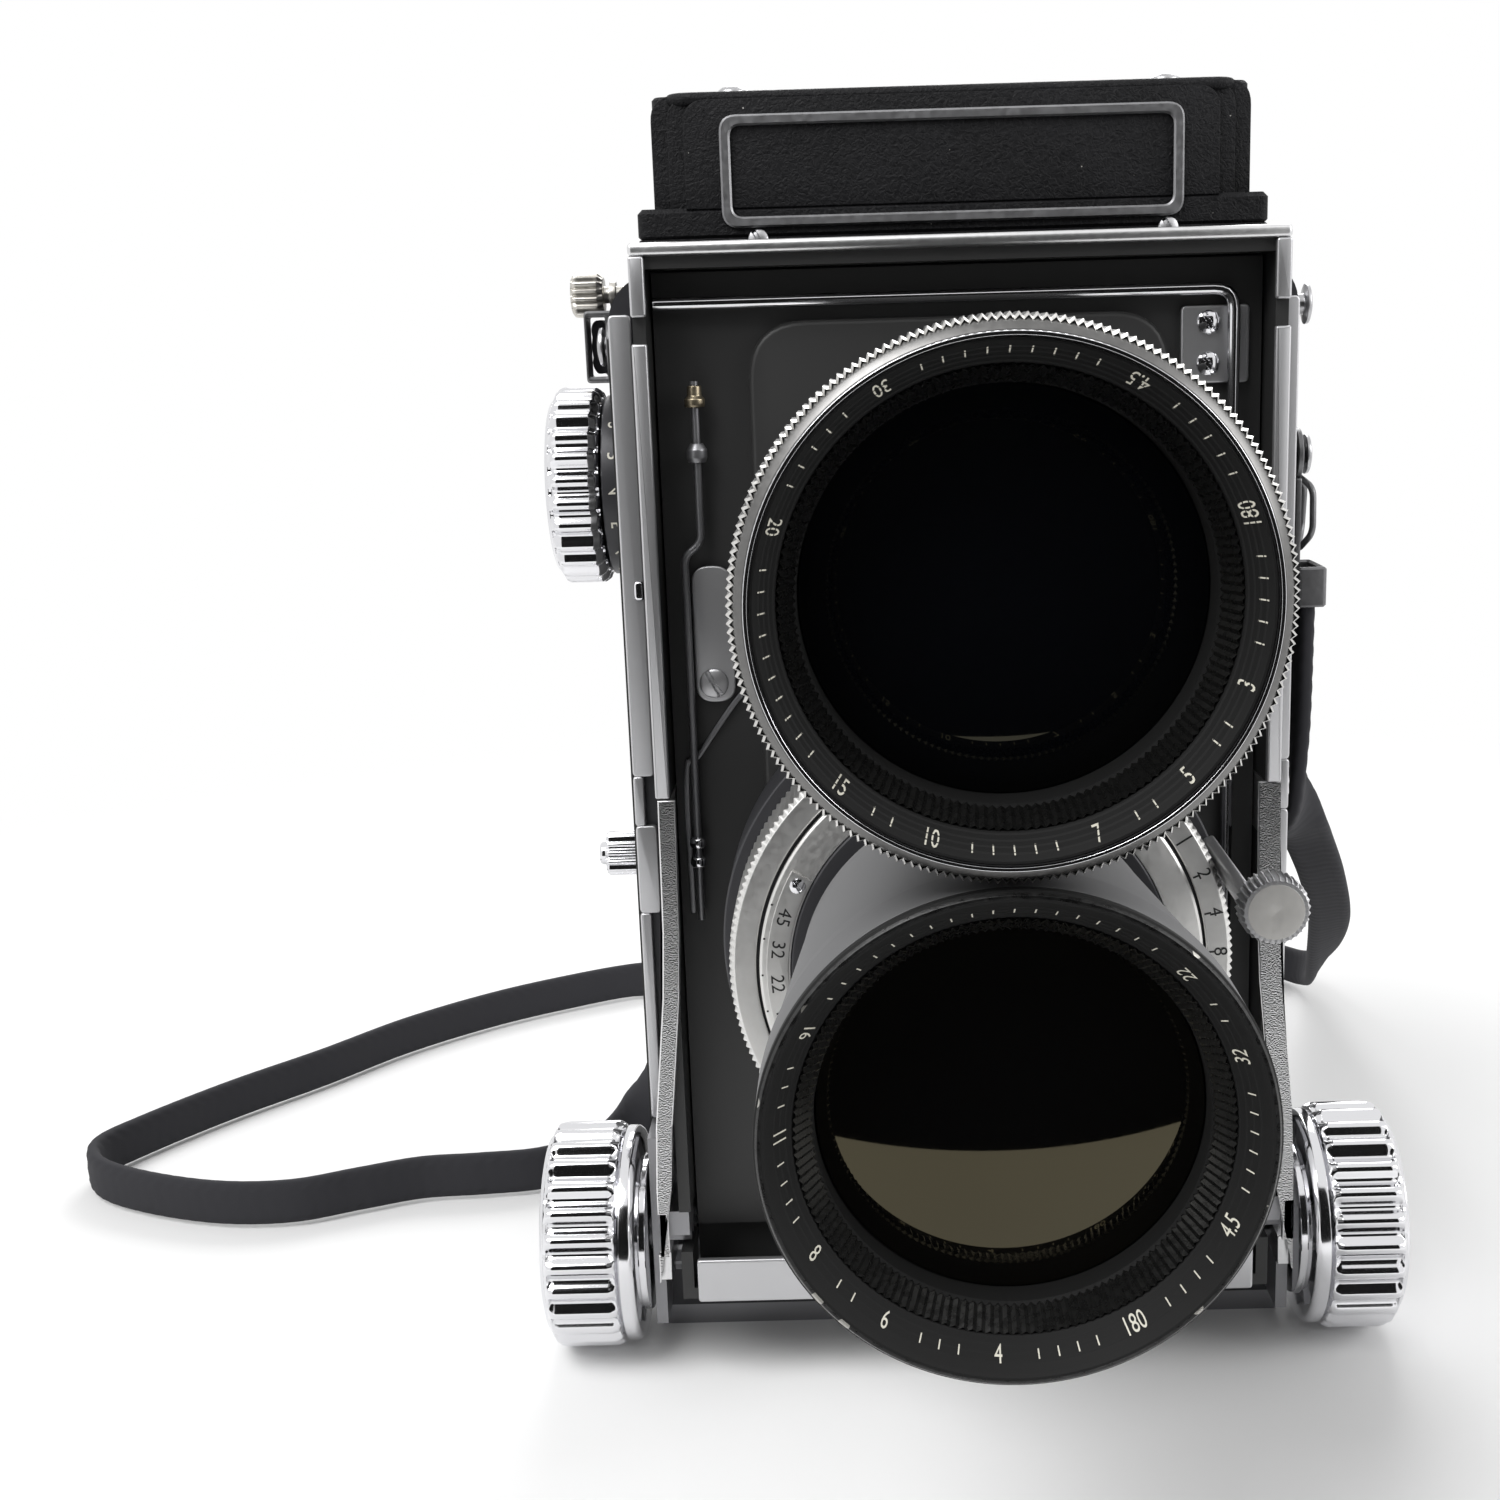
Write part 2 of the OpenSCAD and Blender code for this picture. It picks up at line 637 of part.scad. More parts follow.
module strap() {
    n = len(STRAP);
    points = [for (i = [0:n - 1]) each ring(i)];
    sides = [for (i = [0:n - 2], k = [0:7]) each [
        [8 * i + k, 8 * i + (k + 1) % 8, 8 * i + 8 + (k + 1) % 8],
        [8 * i + k, 8 * i + 8 + (k + 1) % 8, 8 * i + 8 + k]
    ]];
    ends = [[for (k = [7:-1:0]) k], [for (k = [0:7]) 8 * (n - 1) + k]];
    color([0.05, 0.05, 0.055]) polyhedron(points, concat(sides, ends));
}

// ---- Film transport ----

module winding_knob() {
    color([0.8, 0.8, 0.82]) difference() {
        union() {
            translate([0.8 - wind_face_x, wind_y, wind_z]) rotate([0, 90, 0])
                linear_extrude(wind_face_x - wind_rib_x - 0.8) polygon(rib_points(wind_knob_r, 26, 0.9));
            across(wind_knob_r - 1.8, -wind_face_x, 1 - wind_face_x, wind_y, wind_z);
        }
        across(2, -57, -40, wind_y, wind_z);
    }
}

module winding_shaft() {
    color([0.7, 0.7, 0.72]) {
        across(2, -57, -plate_x, wind_y, wind_z);
        translate([-41.4, wind_y, wind_z]) rotate([0, 90, 0])
            linear_extrude(wind_gear_t) polygon(tooth_points(wind_gear_teeth, wind_gear_r, 90 - wind_angle));
    }
}

module counter_dial() {
    color([0.04, 0.04, 0.04]) difference() {
        across(dial_r, move_clear - wind_rib_x, -body_w / 2 - leather_t - move_clear, wind_y, wind_z);
        across(2 + run_clear, -wind_rib_x, -40, wind_y, wind_z);
    }
}

module takeup_drive() {
    color([0.7, 0.7, 0.72]) {
        across(pin_r, -42, -spool_l / 2 + 3, takeup_y, takeup_z);
        translate([-41.4, takeup_y, takeup_z]) rotate([0, 90, 0])
            linear_extrude(wind_gear_t) polygon(tooth_points(wind_gear_teeth, wind_gear_r,
                270 - wind_angle + 180 / wind_gear_teeth));
    }
}

module spool(y, z, bore) {
    half = spool_l / 2;
    color([0.75, 0.1, 0.1]) difference() {
        union() {
            across(spool_core_r, -half, half, y, z);
            both_sides() across(spool_r, half - 2.2, half - 1, y, z);
        }
        across(bore, -half - 1, -half + 4, y, z);
        across(pin_r + run_clear, half - 4, half + 1, y, z);
    }
}

module spool_pin(y, z) {
    x = body_w / 2 + leather_t;
    color([0.75, 0.75, 0.76]) {
        across(pin_r, spool_l / 2 - 2.7, x + 2, y, z);
        across(3.3, x + 0.4, x + 3.2, y, z);
    }
}

module release_slider() {
    x = body_w / 2;
    color([0.75, 0.75, 0.76]) {
        across(1.3, -x - 4, -inner_x + 0.5, release_y, release_z);
        block(-inner_x + 0.3, -inner_x + 1.3, release_y - 3, release_y + 3, release_z - 3, release_z + 3);
        across(2.6, -x - 3, -x - 0.9, release_y, release_z);
        translate([-x - 8.6, release_y, release_z]) rotate([0, 90, 0])
            linear_extrude(5.8) polygon(rib_points(3.5, 14, 0.45));
        across(1.8, -x - 9.6, -x - 8.6, release_y, release_z);
    }
}

// ---- Back door ----

module back_door() {
    hinge_y = back_y + 2.2;
    hinge_z = 4.8;
    y0 = back_y + 0.1;
    w = body_w / 2;
    color([0.06, 0.06, 0.065]) {
        difference() {
            union() {
                panel_y(y0, y0 + door_t) difference() {
                    casting_outline(0);
                    translate([-w - 1, 0]) square([2 * w + 2, hinge_z + 2.2]);
                }
                block(-29.7, 29.7, y0 + 1, y0 + door_t, hinge_z, hinge_z + 3);
                across(1.6, -29.7, 29.7, hinge_y, hinge_z);
            }
            across(0.8 + run_clear, -40, 40, hinge_y, hinge_z);
            for (x = [-22, 22], z = [-22, 22]) along(1.2 + run_clear, y0 - 1, y0 + 2.2, x, taking_z + z);
        }
        for (x = [-22, 22], z = [-22, 22]) difference() {
            along(2.6, y0 - 1.6, y0, x, taking_z + z);
            along(1.2 + run_clear, y0 - 3, y0 + 1, x, taking_z + z);
        }
    }
}

module pressure_plate() {
    y0 = gate_y + gate_t + 1.2;
    color([0.15, 0.15, 0.15]) {
        translate([0, 0, taking_z]) panel_y(y0, y0 + 1.1) round_rect(59, 59, 2);
        for (x = [-22, 22], z = [-22, 22]) along(1.2, y0, back_y + 1, x, taking_z + z);
    }
}

module back_latch() {
    y0 = back_y + 0.1 + door_t;
    color([0.7, 0.7, 0.72]) translate([0, 0, body_h - 9]) {
        panel_y(y0, y0 + 1) round_rect(20, 8, 1.5);
        for (z = [-2, 0, 2]) block(-7, 7, y0 + 1, y0 + 1.7, z - 0.5, z + 0.5);
    }
}

// ---- Front standard ----

module front_housing() {
    w = frame_w / 2 - 0.1;
    y0 = standard_front + 1.2;
    color([0.04, 0.04, 0.045]) difference() {
        block(-w, w, y0, standard_back, frame_bottom, frame_top - 1.5);
        block(-w + frame_wall, w - frame_wall, y0 - 1, standard_back - frame_wall,
            frame_bottom + frame_wall, frame_top - 1.5 - frame_wall);
        block(-bellows_w / 2, bellows_w / 2, y0, standard_back + 1, taking_z - 38, viewing_z + 26);
        both_sides() {
            block(rack_x - notch_gap, w + 1, y0 - 1, standard_back + 1,
                rack_z0 - tooth_up - notch_gap, rack_z0 + rack_h);
            block(rack_x - notch_gap, w + 1, shaft_y - pinion_r - 1.6, standard_back + 1,
                frame_bottom - 1, rack_z0 + 1);
        }
    }
}

module edge_trim() {
    w = frame_w / 2;
    y0 = standard_front;
    y1 = standard_front + 1.2;
    color([0.62, 0.62, 0.63]) {
        block(-w, w, y0, y1 + 2, frame_top - 1.5, frame_top);
        both_sides() {
            block(w - 1.9, w, y0, y1, frame_top - 8.6, frame_top - 1.5);
            block(w - 2.3, w - 0.6, y0, y1, taking_z + 16, frame_top - 12);
        }
        block(2.3 - w, w - 2.3, y0, y1, frame_bottom, frame_bottom + 6.2);
    }
}

// Slanted plates that carry the racks
module lower_cheeks() {
    w = frame_w / 2;
    top = taking_z + 15.8;
    low = frame_bottom + 3;
    edge = [[w - 0.2, top], [w + 0.1, top - 23], [w + 2.6, top - 48], [w + 2.9, low]];
    color([0.72, 0.72, 0.73]) both_sides() {
        difference() {
            panel_y(standard_front, standard_front + 1.2)
                polygon(concat(edge, [for (i = [3:-1:0]) edge[i] - [cheek_w, 0]]));
            block(w + 1.7, w + 4, standard_front - 1, standard_front + 2,
                rack_z0 - tooth_up - notch_gap, rack_z0 + rack_h);
        }
        difference() {
            panel_y(standard_front + 1.2, standard_back - 1)
                polygon([[w, low + 8], [w, top - 26], [w + 2.4, top - 48], [w + 2.6, low + 8]]);
            block(rack_x - 2, w + 4, standard_front - 1, standard_back + 1,
                rack_z0 - tooth_up - notch_gap, rack_z0 + rack_h);
        }
    }
}

module racks() {
    n = floor((rack_end - standard_front) / tooth_pitch);
    h = tooth_pitch;
    color([0.55, 0.4, 0.3]) both_sides() {
        block(rack_x, rack_x + rack_w, standard_front + 1.5, rack_end, rack_z0 + tooth_down, rack_z0 + rack_h);
        panel_x(rack_x, rack_x + rack_w)
            for (i = [1 - floor((shaft_y - standard_front) / h) : n - floor((shaft_y - standard_front) / h) - 2])
                translate([shaft_y + (i + 0.5) * h, rack_z0])
                    polygon([[-0.3 * h, tooth_down + eps], [-0.13 * h, -tooth_up * 0.85],
                        [0.13 * h, -tooth_up * 0.85], [0.3 * h, tooth_down + eps]]);
    }
}

module rack_guides() {
    color([0.2, 0.2, 0.2]) both_sides()
        block(inner_x - 2.6, inner_x, front_y + front_wall, rack_end - 1,
            rack_z0 + rack_h + move_clear, rack_z0 + rack_h + 2.5);
}

module lens_board() {
    y1 = board_front + board_t;
    w = frame_w / 2 - frame_wall - 0.4;
    zc = (frame_top - 3.4 + frame_bottom + 8) / 2;
    h = frame_top - 3.4 - frame_bottom - 8;
    color([0.05, 0.05, 0.055]) difference() {
        union() {
            translate([0, 0, zc]) panel_y(board_front, y1) square([2 * w, h], center = true);
            translate([0, 0, taking_z + 22]) panel_y(board_front - panel_t, board_front)
                round_rect(52.8, 107, 6.3);
        }
        along(barrel_neck_r - 3, board_front - 5, y1 + 1, 0, viewing_z);
        along(barrel_neck_r - 1, board_front - 5, y1 + 1, 0, taking_z);
        both_sides() block(rack_x - notch_gap, w + 1, board_front - 5, y1 + 1, 0, rack_z0 + rack_h + 0.2);
    }
}

module board_plate() {
    color([0.65, 0.65, 0.66]) {
        translate([32.3, 0, 139.2]) panel_y(board_front - 1, board_front) round_rect(8.6, 9.6, 0.7);
        for (z = [136.8, 141.9]) along(1.6, board_front - 2, board_front - 1, 31.4, z);
        along(1.2, board_front - 2, board_front, lever_screw[0], lever_screw[1]);
    }
}

// Folding bellows, simplified to the tube that its folds fill
module bellows() {
    w = bellows_w / 2;
    z0 = taking_z - 38;
    z1 = viewing_z + 26;
    f = bellows_fold;
    color([0.03, 0.03, 0.03]) difference() {
        block(-w - f, w + f, standard_back, front_y, z0 - f, z1 + f);
        block(-w, w, standard_back - 1, front_y + 1, z0, z1);
    }
}

module lens_bail() {
    y = board_front - 2.2;
    leg = 84;
    color([0.85, 0.85, 0.87]) {
        across(bail_r, -38, bail_leg_x, y, bail_z);
        translate([bail_leg_x, y, bail_z]) sphere(bail_r);
        translate([bail_leg_x, y, bail_z - leg]) cylinder(r = bail_r, h = leg);
    }
}

module board_lever() {
    y1 = board_front - 0.3;
    color([0.6, 0.6, 0.62]) difference() {
        translate([0, 0, 104.2]) panel_y(y1 - 0.7, y1) translate([lever_screw[0] + 0.2, 0])
            round_rect(5.2, 17.8, 2.2);
        along(1.2 + run_clear, y1 - 2, y1 + 1, lever_screw[0], lever_screw[1]);
    }
}

module release_link() {
    x = -35.6;
    y = board_front - 2;
    color([0.6, 0.5, 0.35]) {
        translate([x, y, 66]) cylinder(r = 0.5, h = 50);
        translate([x + 2.2, y, 115]) cylinder(r = 0.5, h = 20);
        block(x - 0.4, x + 2.6, y - 0.3, y + 0.3, 114.4, 116);
        translate([x + 2.2, y, 133.5]) cylinder(r = 1.2, h = 3);
        translate([x + 2.2, y, 126.5]) cylinder(r = 1.1, h = 2);
        for (z = [74, 76.6]) translate([x, y, z]) sphere(1);
    }
}

// ---- Shutter and lenses ----

module shutter_case() {
    y0 = board_front - panel_t;
    yf = standard_front - shutter_reach;
    color([0.06, 0.06, 0.065]) turned([
        [barrel_neck_r - 1, y0], [28, y0], [28, y0 - 5], [shutter_flange_r, y0 - 7], [shutter_flange_r, yf + 10.5],
        [drum_r, yf + 10.5], [drum_r, yf + 0.8], [shutter_neck_r, yf + 0.8], [shutter_neck_r, yf - 1.8],
        [barrel_neck_r - 1, yf - 1.8]
    ], taking_z);
}

module speed_ring() {
    yf = standard_front - shutter_reach;
    r = drum_r + run_clear;
    color([0.7, 0.7, 0.71]) turned([
        [r, yf + 10.2], [speed_ring_r, yf + 10.2], [speed_ring_r, yf + 0.6], [speed_ring_r - 0.6, yf],
        [26.8, yf], [26.8, yf + 0.5], [r, yf + 0.5]
    ], taking_z);
}

module aperture_ring() {
    yf = standard_front - shutter_reach;
    color([0.75, 0.75, 0.76]) turned([
        [shutter_neck_r + run_clear, yf + 0.5], [26.4, yf + 0.5], [26.4, yf - 0.6], [24.6, yf - 1.4],
        [shutter_neck_r + run_clear, yf - 1.4]
    ], taking_z);
}

module cocking_lever() {
    yf = standard_front - shutter_reach;
    a = 20;
    color([0.75, 0.75, 0.76]) translate([0, 0, taking_z]) rotate([0, -a, 0]) {
        block(speed_ring_r + move_clear, speed_ring_r + 1.6, yf - 14, yf + 9.6, -2.2, 2.2);
        along(cocking_button_r - 1, yf - 14.4, yf - 11, cocking_r + 1.2, 0);
        along(cocking_button_r, yf - 18.6, yf - 14.4, cocking_r, 0);
    }
    color([0.06, 0.06, 0.065]) translate([0, 0, taking_z]) rotate([0, -a, 0]) {
        block(speed_ring_r + 1.6, shutter_flange_r + 1.6, yf + 9.6 - 4, yf + 9.6, -2.2, 2.2);
    }
}

module taking_barrel() {
    y0 = standard_front - shutter_reach - 1.8;
    y1 = standard_front - taking_reach;
    t = barrel_wall;
    color([0.35, 0.35, 0.36]) turned([
        [cone_back_r - 6, y0], [cone_back_r, y0], [taking_rim_r - 0.5, y1 + 12], [taking_rim_r, y1 + 8],
        [taking_rim_r, y1 + 1.6], [taking_rim_r - t, y1 + 1.6], [taking_rim_r - t, y1 + 12],
        [cone_back_r - t, y0 - 1.5], [cone_back_r - 6, y0 - 1.5]
    ], taking_z);
}

module taking_retainer() {
    y1 = standard_front - taking_reach;
    r = taking_rim_r - barrel_wall;
    color([0.03, 0.03, 0.03]) turned([
        [r, y1 + 12], [r, y1 + 1.6], [taking_rim_r, y1 + 1.6], [taking_rim_r, y1 + 0.5], [taking_rim_r - 0.5, y1],
        [taking_rim_r - 1.3, y1], [glass_seat_r, y1 + 7], [glass_seat_r, y1 + 12]
    ], taking_z);
}

// Front element: a domed disc
module front_glass(z, y, r, h) {
    R = (r * r + h * h) / (2 * h);
    color([0.05, 0.06, 0.05, 0.5]) turned(concat([[0, y + 6], [r, y + 6]],
        [for (i = [8:-1:0]) let (q = r * i / 8) [q, y + R - sqrt(R * R - q * q)]]), z);
}

module taking_glass() {
    front_glass(taking_z, standard_front - taking_reach + 7.5, glass_r, 3);
}

module viewing_glass() {
    front_glass(viewing_z, standard_front - viewing_reach + 8.5, glass_r, 3);
}

module viewing_barrel() {
    y0 = board_front - panel_t;
    y1 = standard_front - viewing_reach;
    r = barrel_neck_r - 0.4;
    r1 = ring_seat_r - seat_gap;
    t = barrel_wall;
    color([0.04, 0.04, 0.04]) turned([
        [barrel_neck_r - 3, y0], [r, y0], [r, standard_front - shutter_reach - 6], [22.4, y1 + 13], [r1, y1 + 6],
        [r1 - t, y1 + 6], [22.4 - t, y1 + 13], [r - t, standard_front - shutter_reach - 7], [r - t, y0 - 1.5],
        [barrel_neck_r - 3, y0 - 1.5]
    ], viewing_z);
}

module viewing_ring() {
    y1 = standard_front - viewing_reach;
    color([0.3, 0.3, 0.31]) turned([
        [ring_seat_r, y1 + 9], [viewing_ring_r - 0.9, y1 + 9], [viewing_ring_r, y1 + 7.5], [viewing_ring_r, y1 + 2.4],
        [23.2, y1], [22.4, y1], [glass_seat_r, y1 + 8],
        [glass_seat_r, y1 + 14.5], [20.7, y1 + 14.5], [20.7, y1 + 6], [ring_seat_r, y1 + 6]
    ], viewing_z);
}

module rear_cells() {
    y0 = board_front + board_t;
    color([0.1, 0.1, 0.1]) {
        turned([[13, board_front], [barrel_neck_r - 3, board_front], [barrel_neck_r - 3, y0 + 2],
            [13, y0 + 2]], viewing_z);
        turned([[13, board_front], [barrel_neck_r - 1, board_front], [barrel_neck_r - 1, y0 + 2],
            [13, y0 + 2]], taking_z);
    }
}

module rear_glasses() {
    y0 = board_front + board_t;
    color([0.3, 0.35, 0.4, 0.5]) for (z = [taking_z, viewing_z]) along(13, y0 - 2, y0 + 1, 0, z);
}

// ---- Focusing drive ----

module focus_shaft() {
    end = focus_span / 2 - 2;
    color([0.6, 0.6, 0.62]) {
        across(shaft_r, -end, end, shaft_y, shaft_z);
        both_sides() translate([rack_x, shaft_y, shaft_z]) rotate([0, 90, 0])
            linear_extrude(rack_w) polygon(tooth_points(pinion_teeth, pinion_r, 180));
    }
}

module focus_knobs() {
    x0 = body_w / 2 + 0.4;
    x1 = focus_span / 2;
    color([0.8, 0.8, 0.82]) both_sides() difference() {
        union() {
            across(knob_flange_r, x0, x0 + 3, shaft_y, shaft_z);
            translate([x0 + 2.6, shaft_y, shaft_z]) rotate([0, 90, 0])
                linear_extrude(x1 - x0 - 3.4) polygon(rib_points(focus_knob_r, 26, 0.9));
            across(focus_knob_r - 1.8, x1 - 1, x1, shaft_y, shaft_z);
        }
        across(shaft_r, 0, x1 - 2, shaft_y, shaft_z);
    }
}

module takeup_spool() { spool(takeup_y, takeup_z, pin_r); }
module supply_spool() { spool(supply_y, supply_z, pin_r + run_clear); }
module upper_spool_pin() { spool_pin(takeup_y, takeup_z); }
module lower_spool_pin() { spool_pin(supply_y, supply_z); }
module upper_roller() { film_roller(1); }
module lower_roller() { film_roller(-1); }
module right_flap() { side_flap(); }
module left_flap() { mirror([1, 0, 0]) side_flap(); }
module back_flap() { rear_flap(); }

body_shell();
base_plate();
tripod_socket();
light_chamber();
reflex_mirror();
film_gate();
focusing_screen();
hood_base();
nameplate_frame();
side_trims();
side_covers();
focus_bearings();
rack_guides();
strap_studs();
hood_screw();
winding_knob();
winding_shaft();
counter_dial();
takeup_drive();
takeup_spool();
supply_spool();
upper_spool_pin();
lower_spool_pin();
upper_roller();
lower_roller();
back_door();
pressure_plate();
back_latch();
release_slider();
release_link();
front_housing();
edge_trim();
lower_cheeks();
racks();
lens_board();
board_plate();
bellows();
lens_bail();
board_lever();
shutter_case();
speed_ring();
aperture_ring();
cocking_lever();
taking_barrel();
taking_retainer();
taking_glass();
viewing_barrel();
viewing_ring();
viewing_glass();
rear_cells();
rear_glasses();
focus_shaft();
focus_knobs();
hood_lid();
left_flap();
right_flap();
back_flap();
magnifier();
strap_clips();
strap();
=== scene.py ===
"""Looks of a twin lens reflex camera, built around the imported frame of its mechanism.

Sizes are in millimetres in the frame's axes (+Y is the back, +Z is up) and become metres when a mesh is
made. Places come from the boxes of the frame's nodes. Each sub-assembly is a class: its fields are sizes,
its methods work out surfaces with numpy and dress them with a finish.
"""

import logging
import math
from dataclasses import dataclass
from enum import Enum

import bmesh
import bpy
import numpy as np
from mathutils import Matrix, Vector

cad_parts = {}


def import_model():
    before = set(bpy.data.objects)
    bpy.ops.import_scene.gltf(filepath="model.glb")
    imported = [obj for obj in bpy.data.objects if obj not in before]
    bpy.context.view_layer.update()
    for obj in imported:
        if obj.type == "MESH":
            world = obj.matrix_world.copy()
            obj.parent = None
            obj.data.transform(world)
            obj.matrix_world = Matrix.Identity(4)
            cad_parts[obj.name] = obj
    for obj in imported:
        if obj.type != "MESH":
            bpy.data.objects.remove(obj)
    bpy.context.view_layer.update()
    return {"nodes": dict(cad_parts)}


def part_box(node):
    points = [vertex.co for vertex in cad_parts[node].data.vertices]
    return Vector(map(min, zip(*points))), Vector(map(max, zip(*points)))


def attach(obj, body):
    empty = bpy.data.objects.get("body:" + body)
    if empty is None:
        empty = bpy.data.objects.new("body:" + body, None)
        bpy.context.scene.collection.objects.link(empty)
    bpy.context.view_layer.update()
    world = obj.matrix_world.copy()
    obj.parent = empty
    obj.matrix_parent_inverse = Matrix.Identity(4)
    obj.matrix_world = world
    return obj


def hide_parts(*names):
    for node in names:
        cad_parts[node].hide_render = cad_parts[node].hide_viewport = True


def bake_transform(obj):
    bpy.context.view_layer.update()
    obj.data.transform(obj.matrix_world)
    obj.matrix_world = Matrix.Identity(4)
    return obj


LOG = logging.getLogger("camera")
MM = 0.001


# ---------------------------------------------------------------- finishes


class Pattern(Enum):
    """The relief that a finish has."""

    FINE = "fine"
    WRINKLE = "wrinkle"
    LEATHER = "leather"
    BRUSHED = "brushed"
    TURNED = "turned"
    BRAID = "braid"


class Tree:
    """A short way to add and link shader nodes of one material."""

    def __init__(self, material: bpy.types.Material) -> None:
        """Empties the material's node tree.

        Args:
            material: the material that the nodes belong to.
        """
        material.use_nodes = True
        self.tree = material.node_tree
        self.tree.nodes.clear()

    def add(self, kind: str, inputs: dict | None = None, **settings: object) -> bpy.types.Node:
        """Adds a node.

        Args:
            kind: the node's type, without its ShaderNode prefix.
            inputs: values or output sockets for its inputs, by name or number.
            settings: properties of the node.

        Returns:
            The node.
        """
        node = self.tree.nodes.new("ShaderNode" + kind)
        for name, value in settings.items():
            setattr(node, name, value)
        for key, value in (inputs or {}).items():
            if isinstance(value, bpy.types.NodeSocket):
                self.tree.links.new(value, node.inputs[key])
            else:
                node.inputs[key].default_value = value
        return node

    def maths(self, operation: str, a: object, b: object = 0.0) -> bpy.types.NodeSocket:
        """Returns the output of a maths node that works on a and b."""
        return self.add("Math", {0: a, 1: b}, operation=operation).outputs[0]

    def spread(self, value: bpy.types.NodeSocket, low: float, high: float, start: float = 0.3,
               end: float = 0.7) -> bpy.types.NodeSocket:
        """Returns value, moved from the range start to end into the range low to high."""
        inputs = {"Value": value, "From Min": start, "From Max": end, "To Min": low, "To Max": high}
        return self.add("MapRange", inputs).outputs[0]


